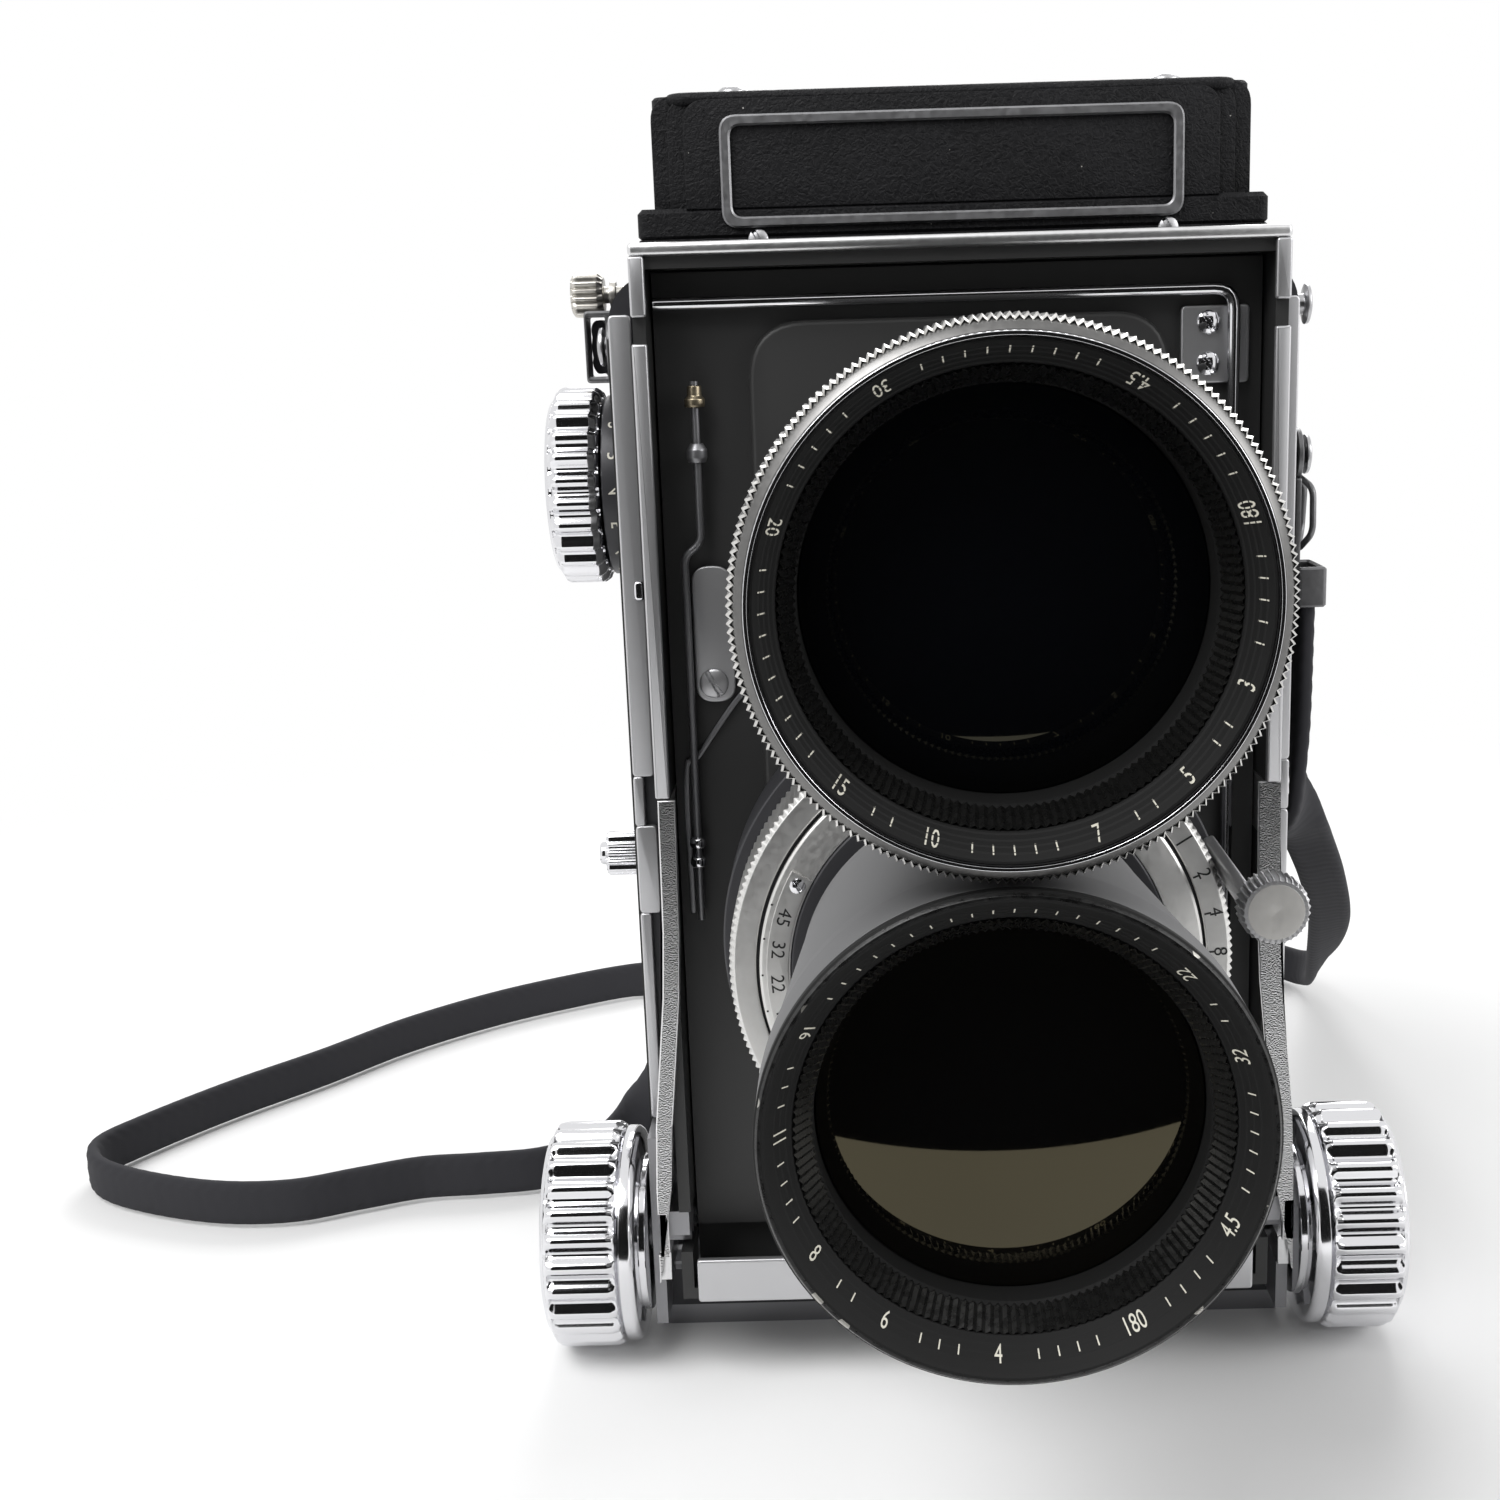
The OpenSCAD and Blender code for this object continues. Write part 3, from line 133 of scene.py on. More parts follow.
@dataclass(frozen=True)
class Finish:
    """A surface finish: its colour, gloss and relief."""

    name: str
    colour: tuple[float, float, float]
    roughness: float
    metallic: float = 0.0
    pattern: Pattern = Pattern.FINE
    grain: float = 3000.0
    depth: float = 0.01
    mottle: float = 0.15
    uneven: float = 0.08
    specks: float = 0.0
    speck_colour: tuple[float, float, float] = (0.35, 0.34, 0.32)
    clear_coat: float = 0.0
    ior: float = 1.5
    tint: tuple[float, float, float] = (1.0, 1.0, 1.0)
    axis: tuple[float, float, float] = (0.0, 0.0, 0.0)

    def relief(self, tree: Tree, place: bpy.types.NodeSocket) -> bpy.types.NodeSocket:
        """Returns the height of the finish's own relief, from 0 to 1.

        Args:
            tree: the material's nodes.
            place: Object coordinates, in metres.

        Returns:
            The height socket.
        """
        grain = self.grain
        if self.pattern is Pattern.WRINKLE:
            bent = tree.add("TexNoise", {"Vector": place, "Scale": grain, "Detail": 3.0, "Distortion": 1.2})
            return tree.spread(bent.outputs[0], 0.0, 1.0, 0.35, 0.65)
        if self.pattern is Pattern.LEATHER:
            cells = tree.add("TexVoronoi", {"Vector": place, "Scale": grain, "Smoothness": 0.6},
                             feature="SMOOTH_F1")
            hairs = tree.add("TexNoise", {"Vector": place, "Scale": grain * 3, "Detail": 3.0})
            dome = tree.spread(cells.outputs["Distance"], 1.0, 0.0, 0.1, 0.75)
            return tree.maths("ADD", dome, tree.maths("MULTIPLY", hairs.outputs[0], 0.25))
        if self.pattern is Pattern.BRUSHED:
            stretched = tree.add("Mapping", {"Vector": place, "Scale": (0.04, 1.0, 1.0)})
            return tree.add("TexNoise", {"Vector": stretched.outputs[0], "Scale": grain, "Detail": 2.0}).outputs[0]
        if self.pattern is Pattern.TURNED:
            centred = tree.add("Mapping", {"Vector": place, "Location": [-c * MM for c in self.axis],
                                           "Scale": (1.0, 0.0, 1.0)})
            far = tree.add("VectorMath", {0: centred.outputs[0]}, operation="LENGTH").outputs["Value"]
            split = tree.add("SeparateXYZ", {0: place}).outputs[1]
            ring = tree.add("CombineXYZ", {0: far, 1: split}).outputs[0]
            return tree.add("TexNoise", {"Vector": ring, "Scale": grain, "Detail": 2.0}).outputs[0]
        return tree.add("TexNoise", {"Vector": place, "Scale": grain, "Detail": 2.0}).outputs[0]

    def braid(self, tree: Tree) -> bpy.types.NodeSocket:
        """Returns the height of fine threads along a plaited cord, worked out from its own UV map.

        The plaits lean left and right in turn across the width, and each carries five threads.
        """
        uv = tree.add("SeparateXYZ", {0: tree.add("UVMap", uv_map="plait").outputs[0]})
        along, across = uv.outputs[0], uv.outputs[1]
        lean = tree.maths("PINGPONG", tree.maths("MULTIPLY", across, 3.0), 1.0)
        phase = tree.maths("ADD", tree.maths("MULTIPLY", along, 5.0), tree.maths("MULTIPLY", lean, 4.0))
        return tree.maths("ABSOLUTE", tree.maths("SINE", tree.maths("MULTIPLY", phase, math.pi)))

    def material(self) -> bpy.types.Material:
        """Returns the material, made on first use."""
        found = bpy.data.materials.get(self.name)
        if found:
            return found
        made = bpy.data.materials.new(self.name)
        tree = Tree(made)
        place = tree.add("TexCoord").outputs["Object"]
        cloud = tree.add("TexNoise", {"Vector": place, "Scale": 90.0, "Detail": 4.0}).outputs[0]
        fine = tree.add("TexNoise", {"Vector": place, "Scale": 1400.0, "Detail": 3.0}).outputs[0]
        shade = tree.spread(tree.maths("ADD", tree.maths("MULTIPLY", cloud, 0.6), tree.maths("MULTIPLY", fine, 0.4)),
                            1.0 - self.mottle, 1.0 + self.mottle)
        colour = tree.add("VectorMath", {0: self.colour, "Scale": shade}, operation="SCALE").outputs[0]
        if self.specks:
            dots = tree.add("TexVoronoi", {"Vector": place, "Scale": 420.0})
            size = tree.maths("MULTIPLY", tree.add("SeparateXYZ", {0: dots.outputs["Color"]}).outputs[0], self.specks)
            hit = tree.maths("LESS_THAN", dots.outputs["Distance"], tree.maths("SUBTRACT", size, self.specks * 0.6))
            colour = tree.add("Mix", {0: hit, 6: colour, 7: (*self.speck_colour, 1.0)}, data_type="RGBA").outputs[2]
        rough = tree.spread(fine, max(0.02, self.roughness - self.uneven), self.roughness + self.uneven)
        height = self.braid(tree) if self.pattern is Pattern.BRAID else self.relief(tree, place)
        bump = tree.add("Bump", {"Height": height, "Distance": self.depth * MM, "Strength": 1.0})
        shader = tree.add("BsdfPrincipled", {
            "Base Color": colour, "Roughness": rough, "Metallic": self.metallic, "Normal": bump.outputs[0],
            "IOR": self.ior, "Specular Tint": (*self.tint, 1.0), "Coat Weight": self.clear_coat,
            "Coat Roughness": 0.08})
        tree.add("OutputMaterial", {"Surface": shader.outputs[0]})
        return made


LACQUER = Finish("black_lacquer", (0.008, 0.008, 0.009), 0.36, depth=0.004, specks=0.08, clear_coat=0.04, ior=1.25)
WRINKLE = Finish("wrinkle_black", (0.005, 0.005, 0.0055), 0.42, pattern=Pattern.WRINKLE, grain=2300.0,
                 depth=0.06, specks=0.08, ior=1.17)
LEATHER = Finish("black_leather", (0.010, 0.0097, 0.0095), 0.44, pattern=Pattern.LEATHER, grain=900.0,
                 depth=0.16, specks=0.08, ior=1.36)
HOOD_BLACK = Finish("hood_leatherette", (0.008, 0.008, 0.009), 0.52, pattern=Pattern.WRINKLE, grain=1500.0,
                    depth=0.08, specks=0.12, mottle=0.35, ior=1.25)
SATIN = Finish("satin_silver", (0.52, 0.52, 0.53), 0.40, 1.0, Pattern.FINE, 5200.0, 0.002, 0.06, 0.03)
SHUTTER_SATIN = Finish("shutter_satin", (0.68, 0.675, 0.66), 0.40, 1.0, Pattern.TURNED, 9000.0, 0.0015, 0.05, 0.04,
                       axis=(0.0, 0.0, 68.0))
CHROME = Finish("bright_chrome", (0.86, 0.86, 0.855), 0.25, 1.0, Pattern.FINE, 2600.0, 0.001, 0.04, 0.03)
NICKEL = Finish("soft_nickel", (0.58, 0.56, 0.52), 0.34, 1.0, Pattern.FINE, 3600.0, 0.002, 0.12, 0.05)
STEEL = Finish("dark_steel", (0.22, 0.22, 0.23), 0.40, 1.0, Pattern.FINE, 5200.0, 0.002, 0.12, 0.06)
BARREL_GREY = Finish("grey_barrel", (0.135, 0.135, 0.138), 0.42, 0.55, Pattern.FINE, 6200.0, 0.004, 0.08, 0.04)
ANODISED = Finish("black_anodised", (0.004, 0.004, 0.005), 0.28, 0.0, Pattern.TURNED, 7000.0, 0.003, 0.2, 0.05,
                  axis=(0.0, 0.0, 118.0), specks=0.04, ior=1.2)
RING_GREY = Finish("ring_grey", (0.17, 0.168, 0.165), 0.36, 1.0, Pattern.FINE, 5000.0, 0.002, 0.2, 0.05)
TOOTH_SILVER = Finish("tooth_silver", (0.62, 0.61, 0.59), 0.30, 1.0, Pattern.FINE, 4000.0, 0.002, 0.2, 0.05)
SERRATED = Finish("serrated_black", (0.05, 0.05, 0.049), 0.28, 0.9, Pattern.FINE, 4000.0, 0.002, 0.15, 0.05)
BRASS = Finish("dull_brass", (0.40, 0.34, 0.24), 0.38, 1.0, Pattern.FINE, 3000.0, 0.002, 0.10, 0.05)
BELLOWS = Finish("bellows_cloth", (0.010, 0.010, 0.010), 0.75, pattern=Pattern.WRINKLE, grain=2600.0, depth=0.04)
MIRROR = Finish("mirror_glass", (0.88, 0.9, 0.9), 0.03, 1.0, depth=0.0, mottle=0.02, uneven=0.01)
GROUND_GLASS = Finish("ground_glass", (0.42, 0.45, 0.43), 0.55, depth=0.01, mottle=0.05)
SPOOL_RED = Finish("spool_red", (0.42, 0.03, 0.025), 0.4, depth=0.01)
STRAP_BLACK = Finish("strap_cord", (0.0035, 0.004, 0.006), 0.6, pattern=Pattern.BRAID, depth=0.12, mottle=0.3,
                     ior=1.12)
INK = Finish("black_ink", (0.01, 0.01, 0.01), 0.5, depth=0.0)
CREAM = Finish("cream_paint", (0.60, 0.58, 0.50), 0.5, depth=0.0)
VIEW_GLASS = Finish("viewing_coating", (0.0012, 0.0014, 0.002), 0.03, depth=0.0, mottle=0.1, uneven=0.01,
                    ior=1.42, tint=(0.9, 0.85, 0.6))
TAKE_GLASS = Finish("taking_coating", (0.0012, 0.0012, 0.0014), 0.03, depth=0.0, mottle=0.1, uneven=0.01,
                    ior=1.62, tint=(1.0, 0.88, 0.56))


# ---------------------------------------------------------------- surfaces


class Axis(Enum):
    """The direction of a turned piece's axis."""

    X = 0
    Y = 1
    Z = 2


@dataclass(frozen=True)
class Ribs:
    """Ribs or teeth around a turned piece: how many, how deep, and how wide their flat tops are."""

    count: int
    depth: float
    sharpness: float = 1.0
    triangular: bool = False

    def cut(self, angle: np.ndarray) -> np.ndarray:
        """Returns how far the surface lies below the ribs' tops at each angle.

        A triangular tooth falls in a straight line from its tip to its root. Otherwise the depth is the
        cosine of half the rib's phase, raised to a power: a high power gives broad ribs and narrow grooves.
        """
        if self.triangular:
            phase = (angle * self.count / (2 * math.pi)) % 1.0
            return self.depth * (1.0 - np.abs(2.0 * phase - 1.0))
        return self.depth * np.abs(np.cos(self.count * angle / 2)) ** self.sharpness


def frame_box(node: str) -> tuple[np.ndarray, np.ndarray]:
    """Returns the lowest and highest corner of a frame node at rest, in millimetres."""
    low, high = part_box(node)
    return np.array(low) / MM, np.array(high) / MM


def rounded(outline: object, radius: float, steps: int = 3) -> np.ndarray:
    """Rounds the corners of a closed outline.

    Each corner is replaced by a quadratic curve between two points, at most radius from the corner and
    less than half way along its shorter side.

    Args:
        outline: the corners, one row of two numbers each.
        radius: how far from its corner a curve starts.
        steps: pieces of line in each curve.

    Returns:
        The rounded outline's points.
    """
    corner = np.asarray(outline, float)
    back, ahead = np.roll(corner, 1, 0) - corner, np.roll(corner, -1, 0) - corner
    back_len, ahead_len = np.linalg.norm(back, axis=1), np.linalg.norm(ahead, axis=1)
    cut = np.minimum(radius, 0.45 * np.minimum(back_len, ahead_len))
    start = corner + back * (cut / back_len)[:, None]
    end = corner + ahead * (cut / ahead_len)[:, None]
    t = np.linspace(0.0, 1.0, steps + 1)[None, :, None]
    curve = (1 - t) ** 2 * start[:, None] + 2 * t * (1 - t) * corner[:, None] + t ** 2 * end[:, None]
    return curve.reshape(-1, 2)


def rectangle(width: float, height: float, radius: float, steps: int = 5,
              centre: tuple[float, float] = (0.0, 0.0)) -> np.ndarray:
    """Returns the outline of a rectangle with round corners."""
    half = np.array([width, height]) / 2
    corners = np.array([[-1, -1], [1, -1], [1, 1], [-1, 1]]) * half + np.array(centre)
    return rounded(corners, radius, steps)


def grid_faces(rows: int, columns: int, close_rows: bool) -> np.ndarray:
    """Returns the four-sided faces of a grid whose columns close on themselves."""
    row = np.arange(rows if close_rows else rows - 1)
    column = np.arange(columns)
    i, j = np.meshgrid(row, column, indexing="ij")
    after_i, after_j = (i + 1) % rows, (j + 1) % columns
    quad = np.stack([i * columns + j, i * columns + after_j, after_i * columns + after_j,
                     after_i * columns + j], axis=-1)
    return quad.reshape(-1, 4)


def put_on_axis(axis: Axis, across: np.ndarray, up: np.ndarray, along: np.ndarray,
                centre: tuple[float, float]) -> np.ndarray:
    """Returns points from two distances across an axis and one along it.

    Args:
        axis: the direction of the axis.
        across: distances along the first of the two other directions.
        up: distances along the second.
        along: distances along the axis.
        centre: the axis's place in the two other directions.
    """
    across, up, along = across + centre[0], up + centre[1], along + np.zeros_like(across)
    order = {Axis.X: (along, across, up), Axis.Y: (across, along, up), Axis.Z: (across, up, along)}
    return np.stack(order[axis], axis=-1)


def signed_volume(points: np.ndarray, faces: list) -> float:
    """Returns six times the volume inside the faces: it is negative where they point inwards."""
    total = 0.0
    for size in {len(f) for f in faces}:
        block = points[np.array([f for f in faces if len(f) == size])]
        first = block[:, 0]
        for k in range(1, size - 1):
            total += float(np.einsum("ij,ij->", first, np.cross(block[:, k], block[:, k + 1])))
    return total


class Piece:
    """Turns points and faces into an object that rides on a body of the frame."""

    @staticmethod
    def make(name: str, points: np.ndarray, faces: list, finish: Finish, body: str, sharp: float = 32.0,
             stands_for: tuple[str, ...] = ()) -> bpy.types.Object:
        """Makes a closed mesh piece.

        Args:
            name: the piece's name.
            points: its points in millimetres, one row each.
            faces: its faces as lists of point numbers.
            finish: what it is dressed with.
            body: the body that it rides on.
            sharp: edges that turn more than this angle, in degrees, stay sharp.
            stands_for: frame nodes that it replaces.

        Returns:
            The object.
        """
        points = np.asarray(points, float).reshape(-1, 3)
        faces = [list(map(int, f)) for f in faces]
        if signed_volume(points - points.mean(0), faces) < 0:
            faces = [f[::-1] for f in faces]
        mesh = bpy.data.meshes.new(name)
        mesh.from_pydata((points * MM).tolist(), [], faces)
        work = bmesh.new()
        work.from_mesh(mesh)
        bmesh.ops.remove_doubles(work, verts=work.verts, dist=2e-7)
        bmesh.ops.dissolve_degenerate(work, edges=work.edges, dist=1e-7)
        work.to_mesh(mesh)
        work.free()
        corners = np.zeros(len(mesh.polygons), np.int32)
        mesh.polygons.foreach_get("loop_total", corners)
        mesh.polygons.foreach_set("use_smooth", corners <= 4)
        mesh.set_sharp_from_angle(angle=math.radians(sharp))
        mesh.materials.append(finish.material())
        piece = bpy.data.objects.new(name, mesh)
        bpy.context.scene.collection.objects.link(piece)
        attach(piece, body)
        if stands_for:
            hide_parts(*stands_for)
        LOG.info("%s rides on %s, %d faces", name, body, len(mesh.polygons))
        return piece

    @staticmethod
    def join(parts: list[tuple[np.ndarray, list]]) -> tuple[np.ndarray, list]:
        """Returns the points and faces of several closed solids as one set, each turned to face outwards."""
        points, faces, count = [], [], 0
        for part_points, part_faces in parts:
            part_points = np.asarray(part_points, float).reshape(-1, 3)
            turned = [list(map(int, f)) for f in part_faces]
            if signed_volume(part_points - part_points.mean(0), turned) < 0:
                turned = [f[::-1] for f in turned]
            points.append(part_points)
            faces += [[k + count for k in f] for f in turned]
            count += len(part_points)
        return np.vstack(points), faces


def lathe(profile: object, axis: Axis, centre: tuple[float, float], segments: int = 160, round_off: float = 0.15,
          ribs: Ribs | None = None, ribbed: tuple[float, float] = (0.0, 0.0)) -> tuple[np.ndarray, list]:
    """Turns a closed profile about an axis.

    A point is the profile's radius, less the ribs' cut where it lies among them, times the cosine and sine
    of its angle. The ribs' cut grows from nothing at the smallest ribbed radius to full depth over the
    given distance outwards, so they fade out where the profile narrows towards its ends.

    Args:
        profile: the closed outline, with rows of a radius and a distance along the axis.
        axis: the direction of the axis.
        centre: the axis's place.
        segments: points around.
        round_off: the size of the rounding at the profile's corners.
        ribs: ribs or teeth around the piece.
        ribbed: the smallest radius that carries ribs, and how deep from there they reach full depth.

    Returns:
        Points and faces.
    """
    outline = rounded(profile, round_off) if round_off else np.asarray(profile, float)
    angle = np.linspace(0.0, 2 * math.pi, segments, endpoint=False)[:, None]
    radius = np.repeat(outline[None, :, 0], segments, axis=0)
    if ribs:
        share = np.clip((outline[:, 0] - ribbed[0]) / max(ribbed[1], 1e-6), 0.0, 1.0)[None, :]
        radius = radius - ribs.cut(angle) * share
    points = put_on_axis(axis, radius * np.cos(angle), radius * np.sin(angle), outline[None, :, 1], centre)
    return points.reshape(-1, 3), grid_faces(segments, len(outline), True).tolist()


def outline_normals(outline: np.ndarray) -> np.ndarray:
    """Returns, for each point of a closed outline, the outward step that moves both its sides out by one."""
    edge = np.roll(outline, -1, 0) - outline
    edge /= np.linalg.norm(edge, axis=1)[:, None]
    out = np.stack([edge[:, 1], -edge[:, 0]], axis=1)
    both = out + np.roll(out, 1, 0)
    both /= np.maximum(np.einsum("ij,ij->i", both, both), 0.4)[:, None]
    turn = edge[:, 0] * np.roll(edge[:, 1], -1) - edge[:, 1] * np.roll(edge[:, 0], -1)
    return both * 2.0 * (1.0 if turn.sum() > 0 else -1.0)


def plate(outline: np.ndarray, low: float, high: float, axis: Axis, bevel: float = 0.2,
          crown: float = 0.0) -> tuple[np.ndarray, list]:
    """Makes a plate from an outline, with rounded rims.

    Rows of the outline are stacked along the axis. At each rim they step inwards along a quarter circle
    of the bevel's radius, and the last row is closed by one face.

    Args:
        outline: the closed outline in the two directions across the axis.
        low: where the plate starts along the axis.
        high: where it ends.
        axis: the direction of its thickness.
        bevel: the radius of its rims.
        crown: how far the middle of the high face stands proud.

    Returns:
        Points and faces.
    """
    way = outline_normals(outline)
    bend = np.linspace(0.0, math.pi / 2, 4)
    inset = np.concatenate([bevel * (1 - np.sin(bend)), bevel * (1 - np.cos(bend))])
    level = np.concatenate([low + bevel * (1 - np.cos(bend)), high - bevel * (1 - np.sin(bend))])
    rows = outline[None] - inset[:, None, None] * way[None]
    points = put_on_axis(axis, rows[..., 0], rows[..., 1], level[:, None] * np.ones(len(outline)), (0.0, 0.0))
    count = len(outline)
    faces = grid_faces(len(level), count, False).tolist()
    faces += [list(range(count))[::-1], [k + (len(level) - 1) * count for k in range(count)]]
    flat = points.reshape(-1, 3)
    if crown:
        middle = np.mean(flat[-count:], axis=0)
        middle[axis.value] = high + crown
        flat = np.vstack([flat, middle])
        faces.pop()
        rim = (len(level) - 1) * count
        faces += [[rim + k, rim + (k + 1) % count, len(flat) - 1] for k in range(count)]
    return flat, faces


def framed(outer: np.ndarray, inner: np.ndarray, low: float, high: float, axis: Axis,
           bevel: float = 0.2) -> tuple[np.ndarray, list]:
    """Makes a frame: a plate between two outlines with as many points each.

    The section at each point runs round four sides, from the outer outline to the inner one, with its
    corners cut by the bevel.
    """
    out_way, in_way = outline_normals(outer), outline_normals(inner)
    steps = [(outer, out_way, -bevel, low), (outer, out_way, 0.0, low + bevel), (outer, out_way, 0.0, high - bevel),
             (outer, out_way, -bevel, high), (inner, in_way, bevel, high), (inner, in_way, 0.0, high - bevel),
             (inner, in_way, 0.0, low + bevel), (inner, in_way, bevel, low)]
    rows = np.stack([line + way * step for line, way, step, _ in steps])
    level = np.array([s[3] for s in steps])[:, None] * np.ones(len(outer))
    points = put_on_axis(axis, rows[..., 0], rows[..., 1], level, (0.0, 0.0))
    return points.reshape(-1, 3), grid_faces(len(steps), len(outer), True).tolist()


def smooth_route(points: np.ndarray, spacing: float) -> np.ndarray:
    """Returns evenly spaced points on the smooth curve through some points.

    Between two points the curve is a cubic whose slopes at the ends are half the step from the point
    before to the point after. It is cut finely and resampled at equal lengths.

    Args:
        points: the route's points, with any number of columns, of which the first three are places.
        spacing: the distance between the points that are returned.
    """
    padded_ends = np.vstack([2 * points[0] - points[1], points, 2 * points[-1] - points[-2]])
    p0, p1, p2, p3 = padded_ends[:-3], padded_ends[1:-2], padded_ends[2:-1], padded_ends[3:]
    t = np.linspace(0.0, 1.0, 24, endpoint=False)[None, :, None]
    m1, m2 = (p2 - p0)[:, None] / 2, (p3 - p1)[:, None] / 2
    a, b = p1[:, None], p2[:, None]
    curve = ((2 * t ** 3 - 3 * t ** 2 + 1) * a + (t ** 3 - 2 * t ** 2 + t) * m1
             + (3 * t ** 2 - 2 * t ** 3) * b + (t ** 3 - t ** 2) * m2)
    fine = np.vstack([curve.reshape(-1, points.shape[1]), points[-1]])
    run = np.concatenate([[0.0], np.cumsum(np.linalg.norm(np.diff(fine[:, :3], axis=0), axis=1))])
    at = np.linspace(0.0, run[-1], max(2, int(round(run[-1] / spacing)) + 1))
    return np.stack([np.interp(at, run, fine[:, k]) for k in range(points.shape[1])], axis=1)


def sweep(path: np.ndarray, section: np.ndarray, side: np.ndarray) -> tuple[np.ndarray, list]:
    """Carries a closed section along a path.

    At each point the section's first axis is the part of side that is square to the path, and its second
    is square to both.

    Args:
        path: points of the path.
        section: points of the section, or one set of them for each point of the path.
        side: the direction of the section's first axis, one row or one for each point of the path.

    Returns:
        Points and faces, with flat ends.
    """
    ahead = np.gradient(path, axis=0)
    ahead /= np.linalg.norm(ahead, axis=1)[:, None]
    side = np.broadcast_to(side, path.shape)
    first = side - ahead * np.einsum("ij,ij->i", side, ahead)[:, None]
    first /= np.linalg.norm(first, axis=1)[:, None]
    second = np.cross(ahead, first)
    section = np.broadcast_to(section, (len(path), *section.shape[-2:]))
    points = (path[:, None] + section[..., :1] * first[:, None] + section[..., 1:] * second[:, None])
    count = section.shape[1]
    faces = grid_faces(len(path), count, False).tolist()
    faces += [list(range(count))[::-1], [k + (len(path) - 1) * count for k in range(count)]]
    return points.reshape(-1, 3), faces


def circle(radius: float, count: int = 16) -> np.ndarray:
    """Returns points on a circle."""
    angle = np.linspace(0.0, 2 * math.pi, count, endpoint=False)
    return radius * np.stack([np.cos(angle), np.sin(angle)], axis=1)


def rod(path: object, radius: float, bend: float = 1.0, spacing: float = 0.6) -> tuple[np.ndarray, list]:
    """Makes a round rod along a line with rounded bends.

    Args:
        path: the corners of the rod's middle line.
        radius: the rod's radius.
        bend: how far from its corner a bend starts.
        spacing: not used.
    """
    corner = np.asarray(path, float)
    line = [corner[0]]
    t = np.linspace(0.0, 1.0, 6)[:, None]
    for before, here, after in zip(corner[:-2], corner[1:-1], corner[2:]):
        back, ahead = before - here, after - here
        start = here + back / np.linalg.norm(back) * min(bend, np.linalg.norm(back) * 0.45)
        end = here + ahead / np.linalg.norm(ahead) * min(bend, np.linalg.norm(ahead) * 0.45)
        line += list((1 - t) ** 2 * start + 2 * t * (1 - t) * here + t ** 2 * end)
    line.append(corner[-1])
    line = np.array(line)
    span = np.ptp(line, axis=0)
    side = np.eye(3)[int(np.argmin(span))] + np.array([0.011, 0.007, 0.013])
    return sweep(line, circle(radius, 20), side)


def glyphs(text: str, height: float, thickness: float = 0.03) -> tuple[np.ndarray, list]:
    """Returns the solid of a short plain number or mark, centred, of the given height.

    Args:
        text: the characters.
        height: the height of a digit in millimetres.
        thickness: how thick the paint is.
    """
    curve = bpy.data.curves.new("glyphs", "FONT")
    curve.body, curve.align_x, curve.align_y, curve.extrude = text, "CENTER", "CENTER", 0.01
    curve.resolution_u = 3
    writer = bpy.data.objects.new("glyphs", curve)
    bpy.context.scene.collection.objects.link(writer)
    mesh = bpy.data.meshes.new_from_object(writer.evaluated_get(bpy.context.evaluated_depsgraph_get()))
    points = np.zeros(len(mesh.vertices) * 3)
    mesh.vertices.foreach_get("co", points)
    points = points.reshape(-1, 3)
    faces = [list(p.vertices) for p in mesh.polygons]
    bpy.data.objects.remove(writer)
    bpy.data.curves.remove(curve)
    bpy.data.meshes.remove(mesh)
    scale = height / 0.7
    return np.column_stack([points[:, 0] * scale, points[:, 1] * scale, points[:, 2] / 0.02 * thickness]), faces


def on_ring(glyph: tuple[np.ndarray, list], radius: float, angle: float, y: float, centre_z: float,
            outward: bool, slope: float = 0.0) -> tuple[np.ndarray, list]:
    """Lays a glyph on the front of a ring about a lens axis.

    A point's height in the glyph becomes a distance from the axis and its width an angle. The face may
    slope back like a cone.

    Args:
        glyph: the glyph's points and faces.
        radius: the distance of its middle from the axis.
        angle: where it stands, in degrees from +X towards +Z.
        y: the plane of the face at that radius.
        centre_z: the height of the axis.
        outward: whether the glyph's top points away from the axis.
        slope: how far the face comes forward for each step outwards.
    """
    points, faces = glyph
    turn = 1.0 if outward else -1.0
    r = radius + turn * points[:, 1]
    around = math.radians(angle) - turn * points[:, 0] / radius
    placed = np.stack([r * np.cos(around), y - points[:, 2] - slope * (r - radius),
                       centre_z + r * np.sin(around)], axis=1)
    return placed, faces


# ---------------------------------------------------------------- sub-assemblies


